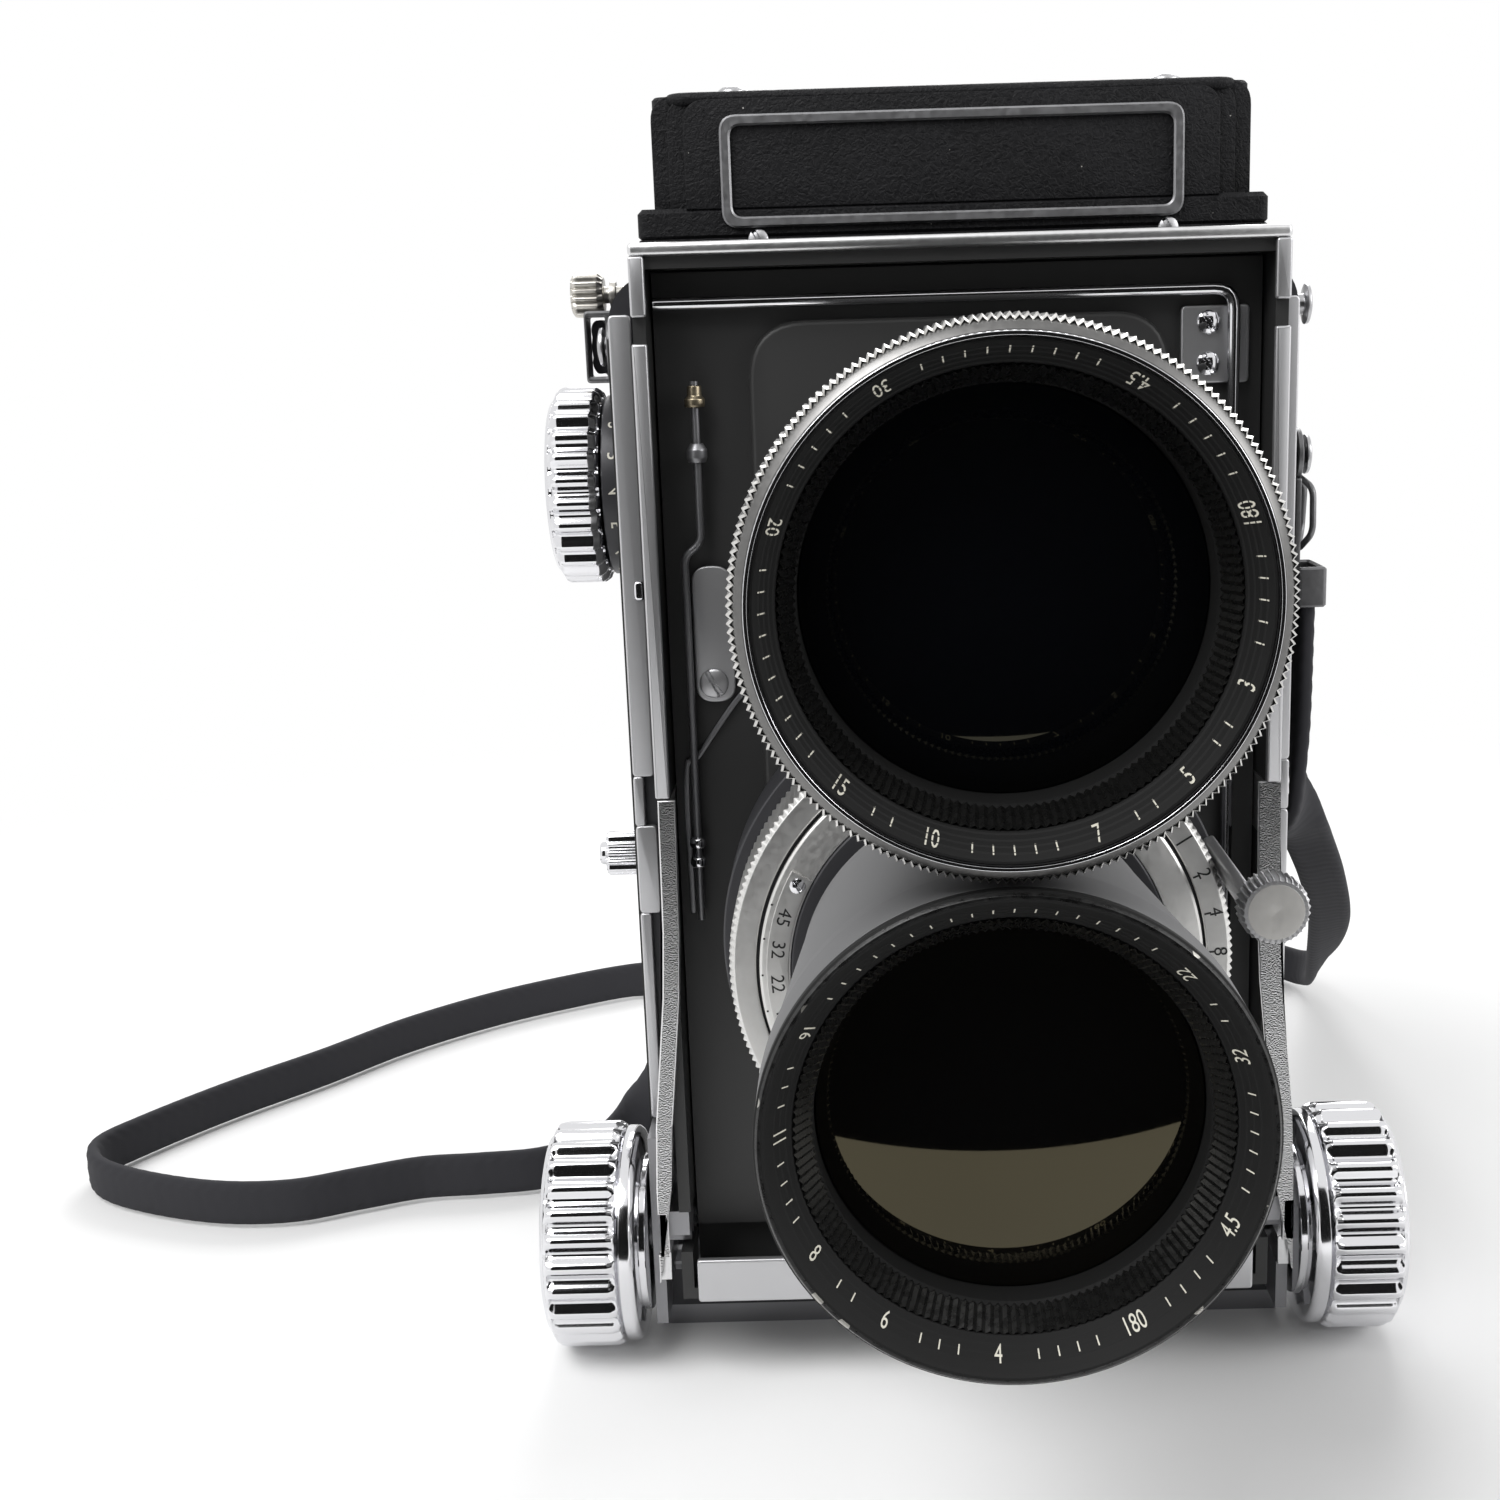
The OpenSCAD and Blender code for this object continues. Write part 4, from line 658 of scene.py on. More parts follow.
@dataclass
class NeckStrap:
    """The plaited neck strap: its route is the middle line, with the direction of its width."""

    width: float = 7.5
    thickness: float = 2.4
    plait: float = 2.6
    spacing: float = 0.55
    route: tuple = (
        (48.6, -22, 107, 0, 1, 0), (48.6, -21.8, 97, 0, 1, 0), (48.6, -21, 86, 0, 1, 0),
        (49.2, -18.5, 76.5, 0.3, 1, 0), (51.6, -10.5, 69.5, 0.8, 0.7, 0), (55.6, 1.5, 63.5, 1, 0.1, 0),
        (62.4, 20, 52.1, 1, -0.2, 0.1), (70, 45, 37.5, 1, -0.3, 0.2), (76.5, 75, 21.5, 0.8, -0.2, 0.6),
        (80, 97, 10.5, 0.4, 0, 1), (80.5, 112, 5.2, 0.1, 0.2, 1), (75, 121, 4.4, 0, 0.1, 1),
        (64, 124.5, 3.6, 0, 1, 1), (51, 124.5, 2, 0, 1, 0.15), (38, 122.5, 1.5, 0, 1, 0),
        (20, 120, 1.5, 0, 1, 0), (2, 118.5, 1.5, 0, 1, 0), (-16, 118, 1.5, 0, 1, 0),
        (-33, 119, 1.5, 0, 1, 0), (-47, 120.5, 1.9, 0, 1, 0.1), (-57, 120, 3.5, 0, 0.8, 1),
        (-65.5, 117.9, 4.4, 0, 0, 1), (-78, 111.5, 4.4, 0, 0, 1), (-93.3, 100.9, 4.4, 0, 0, 1),
        (-108.6, 86, 4.4, 0, 0, 1), (-121.6, 68.5, 4.4, 0, 0, 1), (-134.3, 53.1, 4.4, 0, 0, 1),
        (-145, 37.5, 4.4, 0, 0, 1), (-150, 27, 4.4, 0, 0, 1), (-146.5, 18.5, 4.4, 0, 0, 1),
        (-136.3, 11.8, 4.4, 0, 0, 1), (-122.5, 7, 4.4, 0, 0, 1), (-110.3, 6.8, 4.4, 0, 0, 1),
        (-99.8, 11.1, 4.4, 0, 0, 1), (-90.5, 14.8, 4.4, 0, 0, 1), (-80.5, 15.8, 4.4, 0, 0, 1),
        (-70.4, 17.5, 4.4, 0, 0, 1), (-62, 22.5, 4.8, -0.1, 0.1, 1), (-55.8, 30.5, 7.5, -0.3, 0.5, 0.8),
        (-52.2, 36.5, 15, -0.1, 1, 0.5), (-50.6, 38, 27, 0, 1, 0.1), (-50, 38, 42, 0, 1, 0),
        (-49.8, 37.5, 58, 0, 1, 0), (-49.6, 36.5, 76, 0, 1, 0), (-49.6, 35.5, 93, 0, 1, 0),
        (-49.6, 33, 109, 0, 1, 0.2), (-49.6, 28, 124, 0, 1, 0.5), (-49.6, 20, 135.5, 0, 0.7, 1),
        (-49.6, 9.5, 140, 0, 0.2, 1), (-49.6, 0, 141, 0, 0, 1), (-49.6, -5.5, 141, 0, 0, 1),
    )

    def build(self) -> None:
        """Makes the strap.

        The section is a flat oval: its half width and half thickness times the cosine and sine of an
        angle, each raised to a power below one. Three rows of plaits stand on it. Their height is the
        size of a sine wave that leans left and right in turn across the width.
        """
        raw = np.array(self.route, float)
        raw[:, 3:] /= np.linalg.norm(raw[:, 3:], axis=1)[:, None]
        line = smooth_route(raw, self.spacing)
        count = 36
        angle = np.linspace(0.0, 2 * math.pi, count, endpoint=False)
        c, s = np.cos(angle), np.sin(angle)
        relief = 0.22
        across = np.sign(c) * np.abs(c) ** 0.55
        depth = np.sign(s) * np.abs(s) ** 0.55
        run = (np.arange(len(line)) * self.spacing)[:, None]
        row = (across + 1) * 1.5
        lean = np.abs((row % 2) - 1)[None, :]
        wave = np.abs(np.sin(math.pi * (run / self.plait + lean * 1.1)))
        groove = np.clip(np.abs((row % 1) - 0.5) * 2, 0, 1)[None, :] ** 4
        lift = relief * (wave ** 0.6 * (1 - 0.75 * groove) - 1)
        half_w, half_t = self.width / 2, self.thickness / 2
        section = np.stack([np.broadcast_to(across * half_w, lift.shape),
                            depth * half_t + lift * np.sign(depth) * np.abs(s) ** 0.3], axis=-1)
        points, faces = sweep(line[:, :3], section, line[:, 3:])
        piece = Piece.make("neck_strap", points, faces, STRAP_BLACK, "body", 60.0, ("strap",))
        self.lay_uv(piece, count, len(line))

    def lay_uv(self, piece: bpy.types.Object, count: int, rings: int) -> None:
        """Lays a UV map along the strap: U counts plaits along it and V runs once across each face.

        Args:
            piece: the strap.
            count: points in each ring.
            rings: not used.
        """
        mesh = piece.data
        layer = mesh.uv_layers.new(name="plait")
        corner = np.zeros(len(mesh.loops), np.int32)
        mesh.loops.foreach_get("vertex_index", corner)
        ring, place = corner // count, corner % count
        v = 0.5 + 0.5 * np.cos(2 * math.pi * place / count)
        uv = np.stack([ring * self.spacing / self.plait, v], axis=1)
        layer.data.foreach_set("uv", uv.astype(np.float32).ravel())


@dataclass
class LensFront:
    """What shows at the front of one of the two lenses."""

    axis_z: float
    front_y: float
    rise: float = 3.6

    def glass(self, name: str, node: str, finish: Finish) -> None:
        """Makes the front element: a dome on a sphere through its rim and its middle.

        Its depth behind the middle is the sphere's radius less the root of that radius squared less the
        distance from the axis squared.
        """
        low, high = frame_box(node)
        radius, rise = (high[0] - low[0]) / 2, self.rise
        sphere = (radius ** 2 + rise ** 2) / (2 * rise)
        r = np.linspace(radius, 0.0, 24)
        dome = np.column_stack([r, low[1] + sphere - np.sqrt(sphere ** 2 - r ** 2)])
        profile = np.vstack([[[0.0, high[1]], [radius, high[1]]], dome])
        parts = lathe(profile, Axis.Y, (0.0, self.axis_z), 128, 0.0)
        Piece.make(name, *parts, finish, "standard", 40.0, (node,))

    def marks(self, name: str, radius: float, y: float, slope: float, numbers: tuple) -> None:
        """Makes plain numbers and fine ticks in a ring inside the front rim.

        Args:
            name: the piece's name.
            radius: the middle of the ring of marks.
            y: the plane of the cone at that radius.
            slope: how far the cone comes forward for each step outwards.
            numbers: pairs of a text and its angle in degrees.
        """
        parts = [on_ring(glyphs(text, 1.15), radius, angle, y - 0.03, self.axis_z, False, slope)
                 for text, angle in numbers]
        line = plate(np.array([[-0.07, -0.3], [0.07, -0.3], [0.07, 0.3], [-0.07, 0.3]]), 0.0, 0.03, Axis.Z, 0.004)
        for angle in np.arange(0.0, 360.0, 5.0):
            if min(abs((angle - at + 180.0) % 360.0 - 180.0) for _, at in numbers) > 6.0:
                parts.append(on_ring(line, radius, float(angle), y - 0.03, self.axis_z, False, slope))
        Piece.make(name, *Piece.join(parts), CREAM, "standard", 30.0)

    def serrated(self, name: str, outer: tuple[float, float], inner: tuple[float, float]) -> None:
        """Makes the band of fine radial ribs on the cone round the glass.

        Args:
            name: the piece's name.
            outer: the band's outer edge, as a radius and a place along the axis.
            inner: its inner edge.
        """
        profile = [outer, inner, (inner[0] + 0.1, inner[1] + 0.5), (outer[0] + 0.3, outer[1] + 0.5)]
        mesh = lathe(profile, Axis.Y, (0.0, self.axis_z), 150 * 6, 0.0, Ribs(150, 0.3, triangular=True), (0.0, 0.1))
        Piece.make(name, *mesh, SERRATED, "standard", 20.0)


@dataclass
class ViewingLens(LensFront):
    """The upper lens: toothed ring, threaded black cone, glass and barrel."""

    ring_r: float = 25.0
    teeth: int = 200

    def build(self) -> None:
        """Makes the pieces of the viewing lens."""
        y, z = self.front_y, self.axis_z
        centre = (0.0, z)
        ring = [(22.9, y + 9), (self.ring_r - 0.9, y + 9), (self.ring_r, y + 7.5), (self.ring_r, y + 1.9),
                (self.ring_r - 0.9, y + 0.9), (23.5, y + 0.35), (23.3, y + 0.9), (22.9, y + 3.0)]
        Piece.make("viewing_toothed_ring",
                   *lathe(ring, Axis.Y, centre, self.teeth * 6, 0.12, Ribs(self.teeth, 0.42, triangular=True),
                          (self.ring_r - 0.8, 0.5)), RING_GREY, "standard", 25.0, ("viewing_ring",))
        tips = [(self.ring_r - 0.3, y + 1.25), (self.ring_r + 0.02, y + 1.85), (self.ring_r + 0.02, y + 2.5),
                (self.ring_r - 0.5, y + 2.5)]
        Piece.make("viewing_tooth_edges",
                   *lathe(tips, Axis.Y, centre, self.teeth * 6, 0.0, Ribs(self.teeth, 0.42, triangular=True),
                          (self.ring_r - 0.8, 0.5)), TOOTH_SILVER, "standard", 25.0)
        bead = [(23.55, y + 0.5), (23.4, y), (23.05, y), (22.9, y + 0.6), (23.2, y + 1.2)]
        Piece.make("viewing_bright_bead", *lathe(bead, Axis.Y, centre, 256, 0.08), CHROME, "standard")
        steps = 9
        start = np.array([22.6, y + 0.7])
        end = np.array([19.05, y + 8.0])
        cone = [tuple(start + (end - start) * k / steps + np.array(shift))
                for k in range(1, steps) for shift in ((0.0, 0.0), (-0.16, 0.1))]
        profile = [(22.9, y + 0.7), *[(22.6, y + 0.7)], *cone, (19.05, y + 8.0), (19.05, y + 14.4),
                   (20.6, y + 14.4), (20.6, y + 6.2), (22.9, y + 6.2)]
        Piece.make("viewing_threaded_cone", *lathe(profile, Axis.Y, centre, 192, 0.05), ANODISED, "standard", 20.0)
        self.glass("viewing_front_glass", "viewing_glass", VIEW_GLASS)
        self.serrated("viewing_serrated_ring", (20.7, y + 4.3), (19.3, y + 7.2))
        self.marks("viewing_numbers", 21.9, y + 2.0, 2.05,
                   (("4.5", 60), ("180", 20), ("3", -20), ("5", -45), ("7", -70), ("10", -110), ("15", -135),
                    ("20", 160), ("30", 120)))
        low, high = frame_box("viewing_barrel")
        neck = 17.6
        body = [(15.0, high[1] - 1.5), (neck, high[1] - 1.5), (neck, low[1] + 30), (neck + 0.5, low[1] + 29.4),
                (neck + 0.5, low[1] + 27), (22.4, low[1] + 7), (22.9, low[1]), (21.4, low[1]), (20.9, low[1] + 7),
                (16.1, low[1] + 29), (16.1, high[1] - 3), (15.0, high[1] - 3)]
        Piece.make("viewing_tube", *lathe(body, Axis.Y, centre, 192, 0.3), ANODISED, "standard", 30.0,
                   ("viewing_barrel",))


@dataclass
class TakingLens(LensFront):
    """The lower lens: grey cone barrel, worn black retaining ring and glass."""

    rim_r: float = 24.6

    def build(self) -> None:
        """Makes the pieces of the taking lens."""
        y, z, r = self.front_y, self.axis_z, self.rim_r
        centre = (0.0, z)
        low, high = frame_box("taking_barrel")
        wall = 1.5
        cone = [(14.5, high[1]), (20.5, high[1]), (20.6, high[1] - 3), (21.4, high[1] - 3.3), (21.5, high[1] - 6),
                (r - 0.5, y + 12), (r, y + 8), (r, y + 1.6), (r - wall, y + 1.6), (r - wall, y + 12),
                (19.0, high[1] - 1.5), (14.5, high[1] - 1.5)]
        Piece.make("taking_cone_barrel", *lathe(cone, Axis.Y, centre, 192, 0.3), BARREL_GREY, "standard", 30.0,
                   ("taking_barrel",))
        steps = 8
        start, end = np.array([r - 1.3, y + 0.4]), np.array([19.1, y + 6.8])
        thread = [tuple(start + (end - start) * k / steps + np.array(shift))
                  for k in range(1, steps) for shift in ((0.0, 0.0), (-0.14, 0.1))]
        profile = [(r - wall - 0.02, y + 12), (r - wall - 0.02, y + 1.6), (r, y + 1.55), (r, y + 0.5),
                   (r - 0.5, y), (r - 1.0, y), *[tuple(start)], *thread, tuple(end), (19.1, y + 12)]
        Piece.make("taking_retaining_ring", *lathe(profile, Axis.Y, centre, 192, 0.06), ANODISED, "standard", 20.0,
                   ("taking_retainer",))
        wear = [(r + 0.02, y + 0.62), (r - 0.42, y - 0.02), (r - 0.75, y - 0.02), (r - 0.5, y + 0.5)]
        Piece.make("taking_worn_edge", *lathe(wear, Axis.Y, centre, 256, 0.05), WORN_EDGE, "standard")
        self.glass("taking_front_glass", "taking_glass", TAKE_GLASS)
        self.serrated("taking_serrated_ring", (21.0, y + 3.6), (19.4, y + 6.1))
        self.marks("taking_numbers", 22.2, y + 1.95, 1.5,
                   (("4.5", -25), ("180", -60), ("4", -95), ("6", -125), ("8", -150), ("11", 178), ("16", 150),
                    ("22", 45), ("32", 20)))


WORN_EDGE = Finish("worn_edge", (0.05, 0.05, 0.05), 0.32, 0.9, Pattern.FINE, 5000.0, 0.02, 0.5, 0.1,
                   specks=0.75, speck_colour=(0.42, 0.41, 0.38))


@dataclass
class Shutter:
    """The shutter: black flange, milled speed ring, aperture ring and cocking lever."""

    axis_z: float
    face_y: float
    ring_r: float = 30.1
    knurls: int = 200

    def build(self) -> None:
        """Makes the pieces of the shutter."""
        centre, z, y = (0.0, self.axis_z), self.axis_z, self.face_y
        low, high = frame_box("shutter_case")
        back = high[1]
        flange = (high[0] - low[0]) / 2
        case = [(17, back), (28, back), (28, back - 5), (flange, back - 7), (flange, y + 10.5), (27.2, y + 10.5),
                (27.2, y + 0.8), (22.6, y + 0.8), (22.6, y - 1.8), (17, y - 1.8)]
        Piece.make("shutter_housing", *lathe(case, Axis.Y, centre, 192, 0.5), LACQUER, "standard", 30.0,
                   ("shutter_case",))
        r = self.ring_r
        speed = [(27.26, y + 10.2), (r, y + 10.2), (r, y + 0.9), (r - 0.7, y + 0.05), (27.0, y), (26.8, y + 0.1),
                 (26.8, y + 0.5), (27.26, y + 0.5)]
        Piece.make("milled_speed_ring",
                   *lathe(speed, Axis.Y, centre, self.knurls * 6, 0.12, Ribs(self.knurls, 0.36, 2.0), (r - 0.6, 0.4)),
                   SHUTTER_SATIN, "speed", 25.0, ("speed_ring",))
        aperture = [(22.66, y + 0.5), (26.4, y + 0.5), (26.4, y - 0.5), (26.1, y - 0.75), (22.9, y - 1.4),
                    (22.66, y - 1.4)]
        Piece.make("aperture_scale_ring", *lathe(aperture, Axis.Y, centre, 192, 0.08), SHUTTER_SATIN, "aperture",
                   25.0, ("aperture_ring",))
        self.scales()
        self.cocking()

    def scales(self) -> None:
        """Makes the plain numbers, ticks and index marks of the two rings."""
        y, z = self.face_y, self.axis_z
        speeds = (("B", 40.5), ("1", 31.5), ("2", 22.0), ("4", 12.0), ("8", 2.0), ("15", -8.0), ("30", -18.0),
                  ("60", -28.0), ("125", -39.0))
        parts = [on_ring(glyphs(text, 1.6), 28.45, angle, y, z, True) for text, angle in speeds]
        parts += [self.tick(27.1, 27.9, angle, y) for _, angle in speeds]
        Piece.make("speed_numbers", *Piece.join(parts), INK, "speed", 30.0)
        stops = (("45", 163.0), ("32", 172.5), ("22", 182.5), ("16", 192.5), ("11", 202.5), ("8", 212.5),
                 ("5.6", 223.0), ("4.5", 233.0))
        face = y - 1.63
        parts = [on_ring(glyphs(text, 1.6), 24.3, angle, face, z, False) for text, angle in stops]
        parts += [self.tick(25.55, 26.15, angle - 2.0, y - 0.76) for _, angle in stops]
        triangle = rounded([[-1.1, -0.75], [1.1, -0.75], [0.0, 1.1]], 0.1)
        hole = (triangle - triangle.mean(0)) * 0.62 + triangle.mean(0)
        mark = framed(triangle, hole, 0.0, 0.03, Axis.Z, 0.005)
        parts.append(on_ring(mark, 24.7, 38.0, y - 1.05, z, True, -0.2))
        Piece.make("aperture_numbers", *Piece.join(parts), INK, "aperture", 30.0)
        arc = np.radians(np.linspace(150.0, 240.0, 60))
        edge = np.concatenate([np.stack([25.5 * np.cos(arc), z + 25.5 * np.sin(arc)], 1),
                               np.stack([22.9 * np.cos(arc[::-1]), z + 22.9 * np.sin(arc[::-1])], 1)])
        strip = plate(edge, y - 1.62, y - 0.9, Axis.Y, 0.08)
        Piece.make("aperture_scale_plate", *strip, SHUTTER_SATIN, "aperture", 30.0)
        head, head_faces = screw_head((24.1 * math.cos(math.radians(153.0)), z + 24.1 * math.sin(math.radians(153.0))),
                                      y - 1.6, 0.95, 0.5)
        Piece.make("scale_plate_screw", head, head_faces, CHROME, "aperture", 30.0)

    def tick(self, inner: float, outer: float, angle: float, y: float) -> tuple[np.ndarray, list]:
        """Returns a short radial line on a ring's face."""
        half = 0.11
        corners = np.array([[-half, 0], [half, 0], [half, outer - inner], [-half, outer - inner]])
        line = plate(corners, 0.0, 0.03, Axis.Z, 0.004)
        shifted = line[0] - np.array([0.0, (outer - inner) / 2, 0.0])
        return on_ring((shifted, line[1]), (inner + outer) / 2, angle, y, self.axis_z, True)

    def cocking(self) -> None:
        """Makes the cocking lever: a bent arm and a milled button with a plain face."""
        y, z = self.face_y, self.axis_z
        lean = math.radians(20.0)
        turn = np.array([[math.cos(lean), math.sin(lean)], [-math.sin(lean), math.cos(lean)]])
        button_at = turn.T @ np.array([33.0, 0.0])
        at = (float(button_at[0]), z + float(button_at[1]))
        button = [(0.0, y - 14.4), (3.4, y - 14.4), (3.9, y - 14.9), (3.9, y - 17.9), (3.6, y - 18.6), (0.0, y - 18.6)]
        Piece.make("cocking_button", *lathe(button, Axis.Y, at, 320, 0.12, Ribs(32, 0.55, 2.0), (3.5, 0.3)), SATIN,
                   "cocking", 25.0, ("cocking_lever",))
        face = [(0.0, y - 18.62), (3.1, y - 18.62), (3.2, y - 18.4), (0.0, y - 18.4)]
        Piece.make("cocking_button_face", *lathe(face, Axis.Y, at, 96, 0.04), GREY_FACE, "cocking", 25.0)
        stem = [(0.0, y - 9.0), (1.5, y - 9.0), (1.5, y - 13.0), (2.1, y - 13.4), (2.1, y - 14.5), (0.0, y - 14.5)]
        Piece.make("cocking_stem", *lathe(stem, Axis.Y, at, 64, 0.1), CHROME, "cocking", 30.0)
        parts = [plate(rectangle(1.4, 4.4, 0.4, centre=(31.1, 0.0)), y - 13.0, y + 9.4, Axis.Y, 0.2),
                 plate(rectangle(3.4, 4.4, 0.8, centre=(32.1, 0.0)), y - 12.8, y - 11.6, Axis.Y, 0.2)]
        points, faces = Piece.join(parts)
        flat = points[:, [0, 2]] @ turn
        points = np.stack([flat[:, 0], points[:, 1], z + flat[:, 1]], axis=1)
        Piece.make("cocking_arm", points, faces, SATIN, "cocking", 30.0)


GREY_FACE = Finish("button_face", (0.56, 0.55, 0.53), 0.5, 0.6, Pattern.FINE, 4200.0, 0.002, 0.06, 0.04)


def screw_head(at: tuple[float, float], y: float, radius: float, rise: float,
               slot: float = 0.2) -> tuple[np.ndarray, list]:
    """Makes a domed screw head that faces forward, with a slot across it.

    The head is a square grid laid on a disc: each ring of the square becomes a circle. Its height falls
    with the square of the distance from the middle, and drops by the slot's depth within the slot.

    Args:
        at: its place in X and Z.
        y: the plane that it sits on.
        radius: its radius.
        rise: its height.
        slot: half the slot's width as a share of the radius.
    """
    count = 25
    u = np.linspace(-1.0, 1.0, count)
    gu, gv = np.meshgrid(u, u, indexing="ij")
    x = gu * np.sqrt(1 - gv ** 2 / 2)
    w = gv * np.sqrt(1 - gu ** 2 / 2)
    far = np.sqrt(x ** 2 + w ** 2)
    tilt = 0.5
    across = np.abs(x * math.cos(tilt) + w * math.sin(tilt))
    height = rise * (1 - 0.55 * far ** 2) - rise * 0.6 * (across < slot)
    height = np.where(far > 0.98, rise * 0.3, height)
    front = np.stack([at[0] + radius * x, y - height, at[1] + radius * w], -1).reshape(-1, 3)
    rear = np.stack([at[0] + radius * x, np.full_like(x, y + 0.05), at[1] + radius * w], -1).reshape(-1, 3)
    i, j = np.meshgrid(np.arange(count - 1), np.arange(count - 1), indexing="ij")
    quad = np.stack([i * count + j, (i + 1) * count + j, (i + 1) * count + j + 1, i * count + j + 1], -1).reshape(-1, 4)
    n = count * count
    edge = np.concatenate([np.arange(count), np.arange(1, count) * count + count - 1,
                           (count - 1) * count + np.arange(count - 2, -1, -1), np.arange(count - 2, 0, -1) * count])
    after = np.roll(edge, -1)
    wall = np.stack([edge, after, after + n, edge + n], -1)
    faces = quad.tolist() + (quad[:, ::-1] + n).tolist() + wall[:, ::-1].tolist()
    return np.vstack([front, rear]), faces


@dataclass
class FrontStandard:
    """The front standard: trims, slanted cheeks, lens board and the linkage on it."""

    trim_t: float = 1.2
    cheek_w: float = 2.3

    def build(self) -> None:
        """Makes the pieces of the standard."""
        self.trims()
        self.cheeks()
        self.board()
        self.linkage()

    def trims(self) -> None:
        """Makes the satin bars round the standard's front edges."""
        low, high = frame_box("edge_trim")
        w, y, top, bottom = high[0], low[1], high[2], low[2]
        bar = plate(rectangle(3.2, 1.6, 0.7, centre=(y + 1.6, top - 0.8)), -w, w, Axis.X, 0.5)
        Piece.make("top_bar", *bar, SATIN_BRIGHT, "standard", 40.0, ("edge_trim",))
        parts = []
        for side in (-1, 1):
            parts.append(plate(rectangle(1.9, 7.2, 0.4, centre=(side * (w - 0.95), top - 5.2)), y, y + 1.2, Axis.Y, 0.3))
            parts.append(plate(rectangle(1.9, 57.2, 0.3, centre=(side * (w - 0.9), 112.6)), y, y + 1.2, Axis.Y, 0.3))
        Piece.make("standard_side_trims", *Piece.join(parts), SATIN, "standard", 40.0)
        lower = plate(rectangle(2 * w - 4.6, 6.2, 0.5, centre=(0.0, bottom + 3.1)), y, y + 1.2, Axis.Y, 0.3)
        Piece.make("bottom_bar", *lower, SATIN, "standard", 40.0)

    def cheeks(self) -> None:
        """Makes the slanted plates that carry the racks."""
        low, high = frame_box("lower_cheeks")
        w, y = high[0] - 2.9, low[1]
        top, base, rack = high[2], low[2], frame_box("racks")
        gap_low, gap_high = rack[0][2] - 0.4, rack[1][2] + 0.2
        heights, widths = [base, top - 48, top - 23, top], [w + 2.9, w + 2.6, w + 0.1, w - 0.2]
        levels = np.concatenate([[base, gap_low, gap_low, gap_high, gap_high], np.linspace(gap_high + 4, top, 7)])
        outer = np.interp(levels, heights, widths)
        outer[2:4] = w + 1.6
        inner = np.column_stack([np.interp(levels[::-1], heights, widths) - self.cheek_w, levels[::-1]])
        strip = np.vstack([np.column_stack([outer, levels]), inner])
        parts = []
        for side in (-1, 1):
            parts.append(plate(strip * (side, 1), y, y + 1.2, Axis.Y, 0.2))
            for z0, z1 in ((base, gap_low), (gap_high, top)):
                run = np.linspace(z0, z1, 8)
                flank = np.column_stack([np.interp(run, heights, widths) - 0.1, run])
                wall = np.vstack([flank, flank[::-1] - (1.5, 0.0)]) * (side, 1)
                parts.append(plate(wall, y + 1.1, y + 11.0, Axis.Y, 0.1))
        Piece.make("slanted_cheeks", *Piece.join(parts), SATIN_BRIGHT, "standard", 40.0, ("lower_cheeks",))

    def board(self) -> None:
        """Makes the raised panel of the lens board and the plate with two screws on it."""
        low, high = frame_box("lens_board")
        panel_y = low[1]
        board_y = frame_box("board_plate")[1][1]
        outline = rectangle(53.0, 107.2, 7.5, 8, (0.0, 90.0))
        Piece.make("raised_panel", *plate(outline, panel_y - 0.2, board_y + 0.4, Axis.Y, 0.7), WRINKLE, "standard",
                   50.0)
        plate_low, plate_high = frame_box("board_plate")
        parts = [plate(rectangle(8.6, 9.6, 0.7, centre=(32.3, 139.2)), board_y - 1.0, board_y, Axis.Y, 0.25)]
        Piece.make("hinge_plate", *Piece.join(parts), SATIN, "standard", 40.0, ("board_plate",))
        heads = [screw_head((31.4, z), board_y - 1.0, 1.5, 0.8, 0.17) for z in (136.8, 141.9)]
        Piece.make("hinge_plate_screws", *Piece.join(heads), CHROME, "standard", 30.0)

    def linkage(self) -> None:
        """Makes the bail rod, the lever, the release linkage and the bent strip on the lens board."""
        low, high = frame_box("lens_bail")
        y, r = (low[1] + high[1]) / 2, 0.8
        top = high[2] - r
        leg_x = high[0] - r
        bail = rod([(low[0], y, top), (leg_x, y, top), (leg_x, y, low[2])], r, 2.6)
        Piece.make("bail_rod", *bail, CHROME, "bail", 50.0, ("lens_bail",))
        low, high = frame_box("board_lever")
        middle = ((low[0] + high[0]) / 2, (low[2] + high[2]) / 2)
        arm = plate(rectangle(5.2, 17.8, 2.6, 8, middle), low[1], high[1], Axis.Y, 0.2)
        Piece.make("lever_blade", *arm, SATIN, "lever", 40.0, ("board_lever",))
        screw = screw_head((middle[0] - 0.2, low[2] + 2.5), low[1], 1.9, 0.7, 0.14)
        Piece.make("lever_screw", *screw, SATIN, "standard", 30.0)
        low, high = frame_box("release_link")
        x, y, up = low[0] + 1.0, (low[1] + high[1]) / 2, high[2]
        parts = [rod([(x + 2.2, y, up), (x + 2.2, y, 116.2), (x, y, 114.6), (x, y, low[2])], 0.5, 1.2)]
        parts += [lathe([(0, 0), (1.1, 0), (1.3, 0.6), (1.3, 1.6), (0.8, 2.4), (0, 2.4)], Axis.Z,
                        (x + 2.2, y), 48, 0.1)]
        parts[-1][0][:, 2] += 126.4
        Piece.make("release_rod", *Piece.join(parts), STEEL, "release_link", 40.0, ("release_link",))
        beads = [lathe([(0.5, -0.9), (1.1, -0.5), (1.1, 0.5), (0.5, 0.9)], Axis.Z, (x, y), 48, 0.3) for _ in range(2)]
        beads[0][0][:, 2] += 74.0
        beads[1][0][:, 2] += 76.6
        Piece.make("release_beads", *Piece.join(beads), CHROME, "release_link", 40.0)
